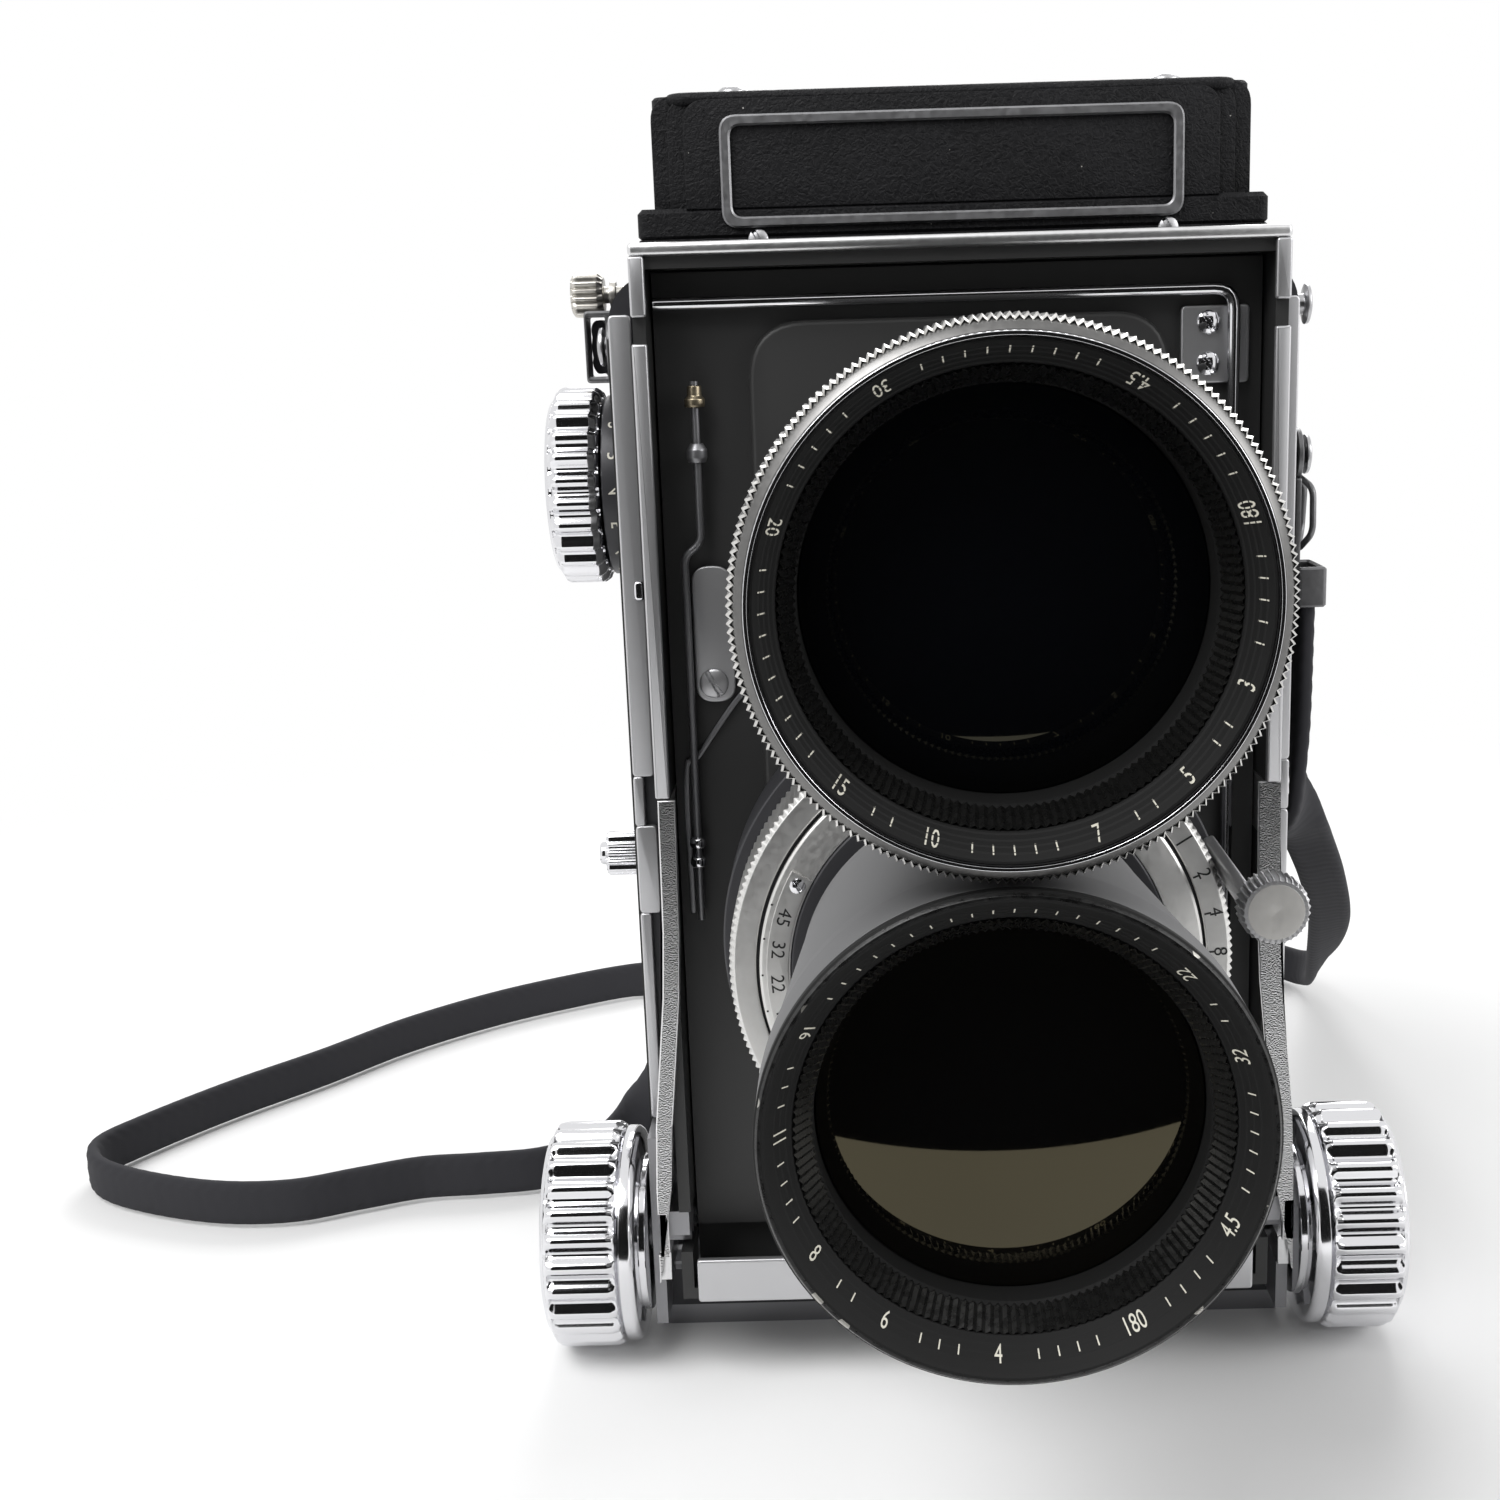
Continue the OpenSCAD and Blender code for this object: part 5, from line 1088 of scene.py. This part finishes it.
        fitting = lathe([(0, 0), (1.2, 0), (1.3, 0.4), (1.3, 1.0), (0.9, 1.4), (0.9, 2.6), (0, 2.8)], Axis.Z,
                        (x + 2.2, y), 48, 0.1)
        fitting[0][:, 2] += 133.3
        Piece.make("release_fitting", *fitting, BRASS, "release_link", 40.0)
        board_y = frame_box("board_plate")[1][1]
        strip_y = board_y - 0.35
        line = np.array([(-27.0, strip_y, 97.5), (-29.5, strip_y, 95.7), (-35.0, strip_y, 88.2),
                         (-36.8, strip_y, 85.6), (-36.8, strip_y, 66.5)])
        route = smooth_route(line, 0.8)
        strip = sweep(route, rectangle(0.7, 0.7, 0.15, 2), np.array([1.0, 0.0, 0.3]))
        Piece.make("bent_strip", *strip, STEEL, "standard", 40.0)


SATIN_BRIGHT = Finish("satin_bright", (0.74, 0.74, 0.745), 0.33, 1.0, Pattern.FINE, 4600.0, 0.0015, 0.05, 0.03)


@dataclass
class Knobs:
    """The fluted knobs: two for focusing and one that winds the film."""

    ribs: int = 26

    def fluted(self, name: str, inner_x: float, outer_x: float, radius: float, centre: tuple[float, float],
               body: str, stands_for: tuple[str, ...]) -> None:
        """Makes a fluted knob with a stepped collar and a turned face.

        Args:
            name: the piece's name.
            inner_x: where its collar starts.
            outer_x: its outer face.
            radius: its radius over the ribs.
            centre: its axis in Y and Z.
            body: the body that it rides on.
            stands_for: the frame nodes that it replaces.
        """
        way = 1.0 if outer_x > inner_x else -1.0
        x0, x1 = inner_x, outer_x
        r = radius
        # profile from the collar, over the ribs, to the face with its sunk ring
        profile = [(0, x0), (11.0, x0), (11.0, x0 + way * 1.0), (14.6, x0 + way * 1.2), (15.2, x0 + way * 1.8),
                   (15.2, x0 + way * 3.3), (r - 1.6, x0 + way * 3.4), (r - 0.4, x0 + way * 3.9), (r, x0 + way * 4.8), (r, x1 - way * 2.0), (r - 0.2, x1 - way * 1.2),
                   (r - 1.2, x1 - way * 0.6), (r - 1.8, x1 - way * 0.5), (r - 2.0, x1), (r - 4.6, x1),
                   (r - 5.0, x1 - way * 0.6), (3.6, x1 - way * 0.6), (3.4, x1 - way * 0.1), (0, x1 - way * 0.1)]
        mesh = lathe(profile, Axis.X, centre, self.ribs * 16, 0.25, Ribs(self.ribs, 1.15, 2.4), (max(15.3, r - 1.3), 0.5))
        Piece.make(name, *mesh, CHROME, body, 28.0, stands_for)

    def build(self) -> None:
        """Makes the knobs and the frame counter's numbers."""
        low, high = frame_box("focus_knobs")
        shaft_low, shaft_high = frame_box("focus_shaft")
        y, z = (low[1] + high[1]) / 2, (low[2] + high[2]) / 2
        radius = (high[2] - low[2]) / 2
        inner = frame_box("side_covers")[1][0] - 0.2
        self.fluted("left_focus_knob", -inner, low[0], radius, (y, z), "focus_drive", ("focus_knobs",))
        self.fluted("right_focus_knob", inner, high[0], radius, (y, z), "focus_drive", ("focus_knobs",))
        low, high = frame_box("winding_knob")
        y, z = (low[1] + high[1]) / 2, (low[2] + high[2]) / 2
        self.winding(low[0], high[0], (high[2] - low[2]) / 2, (y, z))
        self.counter((y, z))

    def winding(self, outer: float, inner: float, radius: float, centre: tuple[float, float]) -> None:
        """Makes the winding knob with its band of ribs."""
        r = radius
        profile = [(0, inner), (r - 1.9, inner), (r - 0.6, inner - 0.5), (r, inner - 1.4), (r, outer + 1.8),
                   (r - 0.3, outer + 1.1), (r - 1.6, outer + 0.5), (r - 2.0, outer), (r - 4.4, outer),
                   (r - 4.8, outer + 0.6), (3.4, outer + 0.6), (3.2, outer + 0.2), (0, outer + 0.2)]
        mesh = lathe(profile, Axis.X, centre, self.ribs * 16, 0.25, Ribs(self.ribs, 1.1, 2.4), (r - 1.5, 0.6))
        Piece.make("film_winding_knob", *mesh, CHROME, "winding", 28.0, ("winding_knob",))

    def counter(self, centre: tuple[float, float]) -> None:
        """Makes the black counter dial and the plain numbers on its rim."""
        low, high = frame_box("counter_dial")
        r = (high[2] - low[2]) / 2
        profile = [(2.1, low[0]), (r - 0.2, low[0]), (r, low[0] + 0.2), (r, high[0]), (2.1, high[0])]
        Piece.make("frame_counter", *lathe(profile, Axis.X, centre, 160, 0.05), LACQUER, "counter", 30.0,
                   ("counter_dial",))
        parts = []
        width = (high[0] - low[0])
        for number in range(1, 13):
            points, faces = glyphs(str(number), 2.1)
            # the glyph's height runs along the shaft and its width round the rim
            angle = math.radians(180.0 + 22.0 * (number - 4)) + points[:, 0] / r
            rim = r + points[:, 2]
            x = (low[0] + high[0]) / 2 - points[:, 1] * min(1.0, 0.8 * width / 2.1)
            placed = np.stack([x, centre[0] + rim * np.cos(angle), centre[1] + rim * np.sin(angle)], axis=1)
            parts.append((placed, faces))
        Piece.make("counter_numbers", *Piece.join(parts), CREAM, "counter", 30.0)


@dataclass
class Hood:
    """The viewing hood: foot, stepped walls, nameplate frame and riveted lid."""

    wall: float = 1.5
    step: float = 2.1

    def build(self) -> None:
        """Makes the pieces of the hood."""
        low, high = frame_box("hood_base")
        wall_x = high[0] - 2.2
        y0, y1, z0, z2 = low[1], high[1], low[2], high[2]
        z1 = z0 + 8.0
        middle = (0.0, (y0 + y1) / 2)
        depth = y1 - y0
        foot = framed(rectangle(2 * high[0], depth, 1.2, 5, middle),
                      rectangle(2 * wall_x - 2 * self.wall, depth - 2 * self.wall, 0.8, 5, middle),
                      z0 + 4.0, z1, Axis.Z, 0.6)
        base = framed(rectangle(2 * high[0], depth, 1.2, 5, middle), rectangle(58, 55, 0.8, 5, (0.0, -1.5)), z0,
                      z0 + 4.2, Axis.Z, 0.2)
        Piece.make("hood_foot", *Piece.join([base, foot]), HOOD_BLACK, "body", 40.0, ("hood_base",))
        walls = framed(rectangle(2 * wall_x, depth - 3.7, 2.0, 6, (0.0, middle[1] + 0.95)),
                       rectangle(2 * wall_x - 2 * self.wall, depth - 3.7 - 2 * self.wall, 1.0, 6,
                                 (0.0, middle[1] + 0.95)), z1 - 0.2, z2, Axis.Z, 0.35)
        Piece.make("hood_walls", *walls, HOOD_BLACK, "body", 40.0)
        self.front_steps(wall_x, y0, z1 - 0.2, z2)
        self.back_steps(wall_x, y1, z1 - 0.2, z2)
        self.nameplate()
        self.lid()

    def stepped(self, name: str, wall_x: float, faces_y: tuple[float, ...], z0: float, z1: float) -> None:
        """Makes a stack of thin plates, each narrower than the one behind it, with round top corners.

        Args:
            name: the piece's name.
            wall_x: half the width of the first plate.
            faces_y: the planes between which the plates lie, from the wall outwards.
            z0: the plates' lower edge.
            z1: the first plate's upper edge.
        """
        parts = []
        for k, (back, front) in enumerate(zip(faces_y[:-1], faces_y[1:])):
            half, top = wall_x - self.step * k, z1 - 0.35 * k
            outline = rounded([[-half, z0], [half, z0], [half, top], [-half, top]], 3.2, 8)
            outline = np.where((outline[:, 1:] < z0 + 3.3) & (np.arange(2) == 0), np.sign(outline) * half, outline)
            keep = np.ones(len(outline), bool)
            keep[1:8] = keep[10:17] = False
            outline = outline[keep]
            parts.append(plate(outline, min(back, front), max(back, front), Axis.Y, 0.18))
        Piece.make(name, *Piece.join(parts), HOOD_BLACK, "body", 35.0)

    def front_steps(self, wall_x: float, y0: float, z0: float, z1: float) -> None:
        """Makes the stepped front of the hood."""
        self.stepped("hood_front_steps", wall_x, (y0 + 2.8, y0 + 1.7, y0 + 0.85, y0), z0, z1)

    def back_steps(self, wall_x: float, y1: float, z0: float, z1: float) -> None:
        """Makes the stepped back of the hood."""
        self.stepped("hood_back_steps", wall_x, (y1 - 1.2, y1 - 0.5, y1), z0, z1)

    def nameplate(self) -> None:
        """Makes the frame of the bare nameplate."""
        low, high = frame_box("nameplate_frame")
        centre = ((low[0] + high[0]) / 2, (low[2] + high[2]) / 2)
        w, h = high[0] - low[0], high[2] - low[2]
        border = framed(rectangle(w, h, 2.2, 6, centre), rectangle(w - 2.7, h - 2.7, 1.4, 6, centre), low[1], high[1],
                        Axis.Y, 0.25)
        Piece.make("bare_nameplate_frame", *border, FRAME_GREY, "body", 40.0, ("nameplate_frame",))

    def lid(self) -> None:
        """Makes the lid with its rivets and a pressed rim."""
        low, high = frame_box("hood_lid")
        top = high[2] - 0.8
        under = top - 1.6
        middle = (0.0, (low[1] + high[1]) / 2)
        sheet = plate(rectangle(high[0] - low[0], high[1] - low[1], 3.5, 8, middle), under, top, Axis.Z, 0.75, 0.12)
        Piece.make("lid_sheet", *sheet, HOOD_BLACK, "lid", 40.0, ("hood_lid",))
        rivets = []
        for x in (-27.8, 27.8):
            dome = lathe([(0, 0), (2.1, 0), (2.0, 0.5), (1.4, 0.95), (0, 1.1)], Axis.Z, (x, low[1] + 5.0), 48, 0.1)
            dome[0][:, 2] += top - 0.05
            rivets.append(dome)
        Piece.make("lid_rivets", *Piece.join(rivets), STUD_METAL, "lid", 40.0)
        ears = [plate(rectangle(3.2, under - (high[2] - 6.9), 0.8, 5, (18.9, (under + high[2] - 6.9) / 2)), x, x + 1.2,
                      Axis.X, 0.1) for x in (-5.8, 4.6)]
        Piece.make("lid_ears", *Piece.join(ears), STEEL, "lid", 40.0)
        low, high = frame_box("hood_base")
        screws = [screw_head((x, 153.9), low[1] + 0.05, 1.3, 0.6) for x in (-25.0, 27.6)]
        Piece.make("hood_front_screws", *Piece.join(screws), SATIN, "body", 30.0)


FRAME_GREY = Finish("frame_grey", (0.34, 0.34, 0.35), 0.42, 1.0, Pattern.FINE, 5000.0, 0.002, 0.10, 0.05)


@dataclass
class BodyFittings:
    """Trims and small fittings on the body's front edges and sides."""

    def build(self) -> None:
        """Makes the strips, the thumbscrew, the release, the studs, the clips and the bellows."""
        self.strips()
        self.milled("hood_thumbscrew", "hood_screw", "hood_screw", 3.2, 16, 4.7, 2)
        self.release()
        self.studs()
        self.clips()
        self.bellows()
        self.door()

    def strips(self) -> None:
        """Makes the satin strips along the body's front edges, with the slots and a rivet."""
        low, high = frame_box("side_trims")
        y0, y1, x1, top = low[1], high[1], high[0], high[2]
        parts = []
        for side in (-1, 1):
            for z0, z1, w in ((low[2], 63.6, 1.6), (63.6, 76.2, 3.0), (83.2, top, 3.0), (76.2, 83.2, 1.5)):
                outline = rectangle(w, z1 - z0 + 0.02, min(0.7, w / 3), 4, (side * (x1 - w / 2), (z0 + z1) / 2))
                parts.append(plate(outline, y0, y1, Axis.Y, 0.25))
        Piece.make("body_edge_strips", *Piece.join(parts), SATIN, "body", 40.0, ("side_trims",))
        rivets = []
        for side in (-1, 1):
            outline = rectangle(1.5, 2.6, 0.75, 6, (side * 42.9, 108.9))
            rivets.append(plate(outline, y0 - 0.45, y0 + 0.1, Axis.Y, 0.35))
        Piece.make("strip_rivets", *Piece.join(rivets), CHROME, "body", 40.0)

    def milled(self, name: str, node: str, body: str, radius: float, ribs: int, length: float, rings: int) -> None:
        """Makes a small milled screw on the left side, with its neck and collar."""
        low, high = frame_box(node)
        y, z = (low[1] + high[1]) / 2, (low[2] + high[2]) / 2
        x0 = low[0]
        profile = [(0, x0), (radius - 0.7, x0), (radius - 0.1, x0 + 0.4), (radius, x0 + 0.8),
                   (radius, x0 + length - 0.8), (radius - 0.7, x0 + length), (1.2, x0 + length), (1.2, high[0]),
                   (0, high[0])]
        if rings > 1:
            profile[7:7] = [(1.2, x0 + length + 0.9), (1.9, x0 + length + 0.9), (1.9, x0 + length + 1.8),
                            (1.2, x0 + length + 1.8)]
        mesh = lathe(profile, Axis.X, (y, z), ribs * 10, 0.1, Ribs(ribs, 0.5, 3.0), (radius - 0.6, 0.4))
        Piece.make(name, *mesh, NICKEL, body, 28.0, (node,))

    def release(self) -> None:
        """Makes the milled release knob with its stepped cap and its slider."""
        low, high = frame_box("release_slider")
        y, z, x0 = (low[1] + high[1]) / 2, (low[2] + high[2]) / 2, low[0]
        profile = [(0, x0), (1.5, x0), (1.8, x0 + 0.35), (1.8, x0 + 1.0), (3.1, x0 + 1.1), (3.5, x0 + 1.5),
                   (3.5, x0 + 6.1), (3.0, x0 + 6.8), (1.9, x0 + 6.8), (1.9, x0 + 7.3), (2.6, x0 + 7.3),
                   (2.6, x0 + 8.6), (1.3, x0 + 8.8), (1.3, high[0]), (0, high[0])]
        mesh = lathe(profile, Axis.X, (y, z), 14 * 12, 0.12, Ribs(14, 0.55, 3.0), (2.9, 0.5))
        Piece.make("release_knob", *mesh, CHROME, "release", 28.0, ("release_slider",))
        shoe = plate(rectangle(6, 6, 0.6, 4, (y, z)), high[0] - 1.0, high[0] - 0.05, Axis.X, 0.15)
        Piece.make("release_shoe", *shoe, STEEL, "release", 30.0)

    def studs(self) -> None:
        """Makes the mushroom studs that the strap's clips hook onto."""
        parts = []
        for side, y, z in ((1, -22, 124), (1, -20, 144), (-1, -12, 141)):
            x = 45.2 * side
            profile = [(0, x - 0.3 * side), (2.6, x - 0.3 * side), (2.6, x + 1.0 * side), (1.4, x + 1.3 * side),
                       (1.4, x + 2.8 * side), (2.7, x + 3.0 * side), (2.6, x + 3.5 * side), (1.6, x + 3.8 * side),
                       (0, x + 3.85 * side)]
            parts.append(lathe(profile, Axis.X, (y, z), 64, 0.12))
        Piece.make("mushroom_studs", *Piece.join(parts), STUD_METAL, "body", 30.0, ("strap_studs",))

    def clips(self) -> None:
        """Makes the strap's clips: a keyhole ring on each stud and a flat loop that holds the strap."""
        low, high = frame_box("strap_clips")
        x0 = 46.7
        parts = []
        for side, y, z, down in ((1, -22.0, 124.0, True), (-1, -12.0, 141.0, False)):
            ring_o, ring_i = circle(3.6, 40), circle(1.75, 40)
            at = np.array([y, z])
            edges = sorted((side * x0, side * (x0 + 0.8)))
            parts.append(framed(ring_o + at, ring_i + at, edges[0], edges[1], Axis.X, 0.15))
            if down:
                parts.append(plate(rectangle(5.0, 12.0, 0.5, 4, (y, z - 9.0)), edges[0], edges[1], Axis.X, 0.15))
                outer = rectangle(4.0, 10.0, 0.6, 4, (side * (x0 + 2.0), y))
                inner = rectangle(2.7, 8.3, 0.3, 4, (side * (x0 + 2.0), y))
                parts.append(framed(outer, inner, z - 20.5, z - 15.0, Axis.Z, 0.3))
            else:
                outer = rectangle(4.6, 10.0, 0.6, 4, (side * (x0 + 2.3), z))
                inner = rectangle(2.6, 8.3, 0.3, 4, (side * (x0 + 2.9), z))
                parts.append(framed(outer, inner, y + 3.0, y + 8.0, Axis.Y, 0.3))
        Piece.make("strap_end_clips", *Piece.join(parts), CLIP_GREY, "body", 35.0, ("strap_clips",))
        wire = rod([(47.4, -22.0, 121.0), (49.0, -19.4, 119.6), (48.9, -18.6, 113.5), (47.6, -22.0, 110.8),
                    (48.9, -25.4, 113.5), (49.0, -24.6, 119.6), (47.5, -22.0, 121.0)], 0.45, 1.4)
        Piece.make("strap_wire_link", *wire, CLIP_GREY, "body", 40.0)

    def bellows(self) -> None:
        """Makes the pleated bellows.

        Its wall runs round a rounded rectangle. Along the lens axis it steps out and in by the fold's
        height in turn, and an inner skin follows it 0.5 mm inside.
        """
        low, high = frame_box("bellows")
        pleats, fold, skin = 7, 2.6, 0.5
        rows = 2 * pleats + 1
        level = np.linspace(high[1] - 0.1, low[1] + 0.1, rows)
        out = np.where(np.arange(rows) % 2 == 1, 0.0, -fold)
        centre = ((low[0] + high[0]) / 2, (low[2] + high[2]) / 2)
        outline = rectangle(high[0] - low[0], high[2] - low[2], 3.4, 6, centre)
        way = outline_normals(outline)
        shift = np.concatenate([out, out[::-1] - skin])
        levels = np.concatenate([level, level[::-1]])
        ring = outline[None] + shift[:, None, None] * way[None]
        points = put_on_axis(Axis.Y, ring[..., 0], ring[..., 1], levels[:, None] * np.ones(len(outline)), (0.0, 0.0))
        faces = grid_faces(2 * rows, len(outline), True).tolist()
        mesh_points = points.reshape(-1, 3)
        if signed_volume(mesh_points - mesh_points.mean(0), faces) < 0:
            faces = [f[::-1] for f in faces]
        mesh = bpy.data.meshes.new("pleated_bellows")
        mesh.from_pydata((mesh_points * MM).tolist(), [], faces)
        mesh.materials.append(BELLOWS.material())
        piece = bpy.data.objects.new("pleated_bellows", mesh)
        bpy.context.scene.collection.objects.link(piece)
        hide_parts("bellows")
        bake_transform(piece)
        LOG.info("pleated_bellows blends from body to standard, %d faces", len(mesh.polygons))

    def door(self) -> None:
        """Makes the leather panel on the back door and the sliding latch."""
        low, high = frame_box("back_door")
        y = high[1]
        outline = rectangle(high[0] - low[0] - 5.0, high[2] - 22.0 - low[2] - 7.0, 5.0, 8,
                            (0.0, (high[2] - 15.0 + low[2] + 7.0) / 2))
        Piece.make("door_leather", *plate(outline, y - 0.3, y + 0.12, Axis.Y, 0.1), LEATHER, "back", 40.0)
        low, high = frame_box("back_latch")
        middle = (0.0, (low[2] + high[2]) / 2)
        parts = [plate(rectangle(20, 8, 2.0, 6, middle), low[1], low[1] + 1.0, Axis.Y, 0.25)]
        parts += [plate(rectangle(13, 1.0, 0.4, 3, (0.0, middle[1] + z)), low[1] + 0.8, high[1], Axis.Y, 0.2)
                  for z in (-2.2, 0.0, 2.2)]
        Piece.make("latch_slide", *Piece.join(parts), SATIN, "latch", 35.0, ("back_latch",))


STUD_METAL = Finish("stud_metal", (0.46, 0.46, 0.47), 0.32, 1.0, Pattern.FINE, 4200.0, 0.002, 0.12, 0.05)
CLIP_GREY = Finish("clip_grey", (0.19, 0.19, 0.195), 0.42, 0.9, Pattern.FINE, 4200.0, 0.002, 0.15, 0.05)


NODE_FINISH: dict[str, Finish] = {
    "body_shell": LACQUER, "base_plate": STEEL, "tripod_socket": SATIN, "light_chamber": LACQUER,
    "reflex_mirror": MIRROR, "film_gate": LACQUER, "focusing_screen": GROUND_GLASS, "side_covers": LEATHER,
    "focus_bearings": STEEL, "rack_guides": STEEL, "winding_shaft": SATIN, "takeup_drive": SATIN,
    "takeup_spool": SPOOL_RED, "supply_spool": SPOOL_RED, "upper_spool_pin": CHROME, "lower_spool_pin": CHROME,
    "upper_roller": SATIN, "lower_roller": SATIN, "back_door": LACQUER, "pressure_plate": LACQUER,
    "front_housing": WRINKLE, "racks": STEEL, "lens_board": WRINKLE, "rear_cells": ANODISED,
    "rear_glasses": VIEW_GLASS, "focus_shaft": STEEL, "left_flap": HOOD_BLACK, "right_flap": HOOD_BLACK,
    "back_flap": HOOD_BLACK, "magnifier": SATIN,
}


# ---------------------------------------------------------------- studio


@dataclass
class Studio:
    """The floor, the light and the camera."""

    lens: float = 46.81
    shift: tuple[float, float] = (-0.0667, 0.0333)
    place: tuple[float, float, float] = (-13.28, -293.42, 141.03)
    yaw: float = -0.453
    pitch: float = 13.273
    roll: float = -1.673

    def build(self) -> None:
        """Makes the whole studio."""
        self.camera()
        self.floor()
        self.lamps()
        self.world()

    def camera(self) -> None:
        """Makes the camera: it looks ahead by its yaw, down by its pitch, and leans by its roll."""
        yaw, pitch, roll = (math.radians(a) for a in (self.yaw, self.pitch, self.roll))
        ahead = np.array([math.sin(yaw) * math.cos(pitch), math.cos(yaw) * math.cos(pitch), -math.sin(pitch)])
        right = np.array([math.cos(yaw), -math.sin(yaw), 0.0])
        up = np.cross(right, ahead)
        right, up = (math.cos(roll) * right + math.sin(roll) * up, -math.sin(roll) * right + math.cos(roll) * up)
        matrix = np.eye(4)
        matrix[:3, :4] = np.column_stack([right, up, -ahead, np.array(self.place) * MM])
        data = bpy.data.cameras.new("camera")
        data.lens, data.sensor_width = self.lens, 36.0
        data.shift_x, data.shift_y = self.shift
        data.clip_start, data.clip_end = 0.01, 50.0
        camera = bpy.data.objects.new("camera", data)
        bpy.context.scene.collection.objects.link(camera)
        camera.matrix_world = Matrix(matrix.tolist())
        bpy.context.scene.camera = camera

    def slab(self, name: str, corners: list, colour: tuple[float, float, float]) -> bpy.types.Object:
        """Makes a flat stage sheet from four corners, in metres, with a plain colour."""
        mesh = bpy.data.meshes.new(name)
        mesh.from_pydata(corners, [], [[0, 1, 2, 3]])
        material = bpy.data.materials.new(name)
        tree = Tree(material)
        shader = tree.add("BsdfPrincipled", {"Base Color": (*colour, 1.0), "Roughness": 0.9,
                                             "Specular IOR Level": 0.0})
        tree.add("OutputMaterial", {"Surface": shader.outputs[0]})
        mesh.materials.append(material)
        sheet = bpy.data.objects.new(name, mesh)
        bpy.context.scene.collection.objects.link(sheet)
        return sheet

    def floor(self) -> None:
        """Makes the pale floor, and a dark card in front that only reflections see, as a studio uses."""
        sheet = self.slab("floor", [(-6, -6, 0), (6, -6, 0), (6, 6, 0), (-6, 6, 0)], (0.86, 0.86, 0.86))
        tree = Tree(sheet.data.materials[0])
        near = tree.add("BsdfPrincipled", {"Base Color": (0.86, 0.86, 0.86, 1.0), "Roughness": 0.9,
                                           "Specular IOR Level": 0.0})
        far = tree.add("Emission", {"Color": (1.0, 1.0, 1.0, 1.0), "Strength": 1.0})
        away = tree.add("VectorMath", {0: tree.add("TexCoord").outputs["Object"]}, operation="LENGTH").outputs["Value"]
        fade = tree.add("MapRange", {"Value": away, "From Min": 0.16, "From Max": 0.42},
                        interpolation_type="SMOOTHSTEP").outputs[0]
        share = tree.maths("MULTIPLY", fade, self.seen(tree))
        mixed = tree.add("MixShader", {0: share, 1: near.outputs[0], 2: far.outputs[0]})
        tree.add("OutputMaterial", {"Surface": mixed.outputs[0]})
        card = self.slab("dark_card", [(-0.16, -0.236, 0.0), (0.16, -0.236, 0.0), (0.16, -0.236, 0.27),
                                       (-0.16, -0.236, 0.27)], (0.012, 0.012, 0.012))
        card.visible_camera = card.visible_diffuse = card.visible_shadow = False

    @staticmethod
    def seen(tree: Tree) -> bpy.types.NodeSocket:
        """Returns one for rays from the camera, a mirror or glass, and zero for light's own rays."""
        path = tree.add("LightPath")
        return tree.maths("MAXIMUM", path.outputs["Is Camera Ray"],
                          tree.maths("MAXIMUM", path.outputs["Is Glossy Ray"], path.outputs["Is Transmission Ray"]))

    def lamps(self) -> None:
        """Makes the soft lamps: a large one above, and one at each side."""
        for name, place, aim, size, power in (("key", (-0.5, -0.5, 0.9), (0.0, 0.0, 0.08), 0.6, 9.0),
                                              ("fill", (0.8, -0.35, 0.5), (0.0, 0.0, 0.08), 0.5, 3.5),
                                              ("back", (0.1, 0.8, 0.7), (0.0, 0.0, 0.08), 0.6, 5.0)):
            data = bpy.data.lights.new(name, "AREA")
            data.size, data.energy = size, power
            lamp = bpy.data.objects.new(name, data)
            bpy.context.scene.collection.objects.link(lamp)
            away = Matrix.Translation(place).to_translation() - Matrix.Translation(aim).to_translation()
            lamp.matrix_world = Matrix.Translation(place) @ away.to_track_quat("Z", "Y").to_matrix().to_4x4()

    def world(self) -> None:
        """Makes the pale surroundings: white where they are seen or mirrored, softer as light."""
        world = bpy.data.worlds.new("studio")
        bpy.context.scene.world = world
        tree = Tree(world)
        strength = tree.maths("ADD", tree.maths("MULTIPLY", self.seen(tree), 0.45), 0.55)
        back = tree.add("Background", {"Color": (1.0, 1.0, 1.0, 1.0), "Strength": strength})
        tree.add("OutputWorld", {"Surface": back.outputs[0]})


def main() -> None:
    """Builds the camera's looks around its frame."""
    logging.basicConfig(level=logging.INFO, format="%(name)s: %(message)s")
    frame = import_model()
    bpy.context.scene.view_settings.view_transform = "Standard"
    for node, finish in NODE_FINISH.items():
        frame["nodes"][node].data.materials.clear()
        frame["nodes"][node].data.materials.append(finish.material())
        LOG.info("%s is dressed in %s", node, finish.name)
    Studio().build()
    NeckStrap().build()
    view_low, view_high = frame_box("viewing_ring")
    ViewingLens((view_low[2] + view_high[2]) / 2, view_low[1]).build()
    take_low, take_high = frame_box("taking_retainer")
    TakingLens((take_low[2] + take_high[2]) / 2, take_low[1], 2.2).build()
    speed_low, speed_high = frame_box("speed_ring")
    Shutter((speed_low[2] + speed_high[2]) / 2, speed_low[1]).build()
    FrontStandard().build()
    Knobs().build()
    Hood().build()
    BodyFittings().build()


if __name__ == "__main__":
    main()
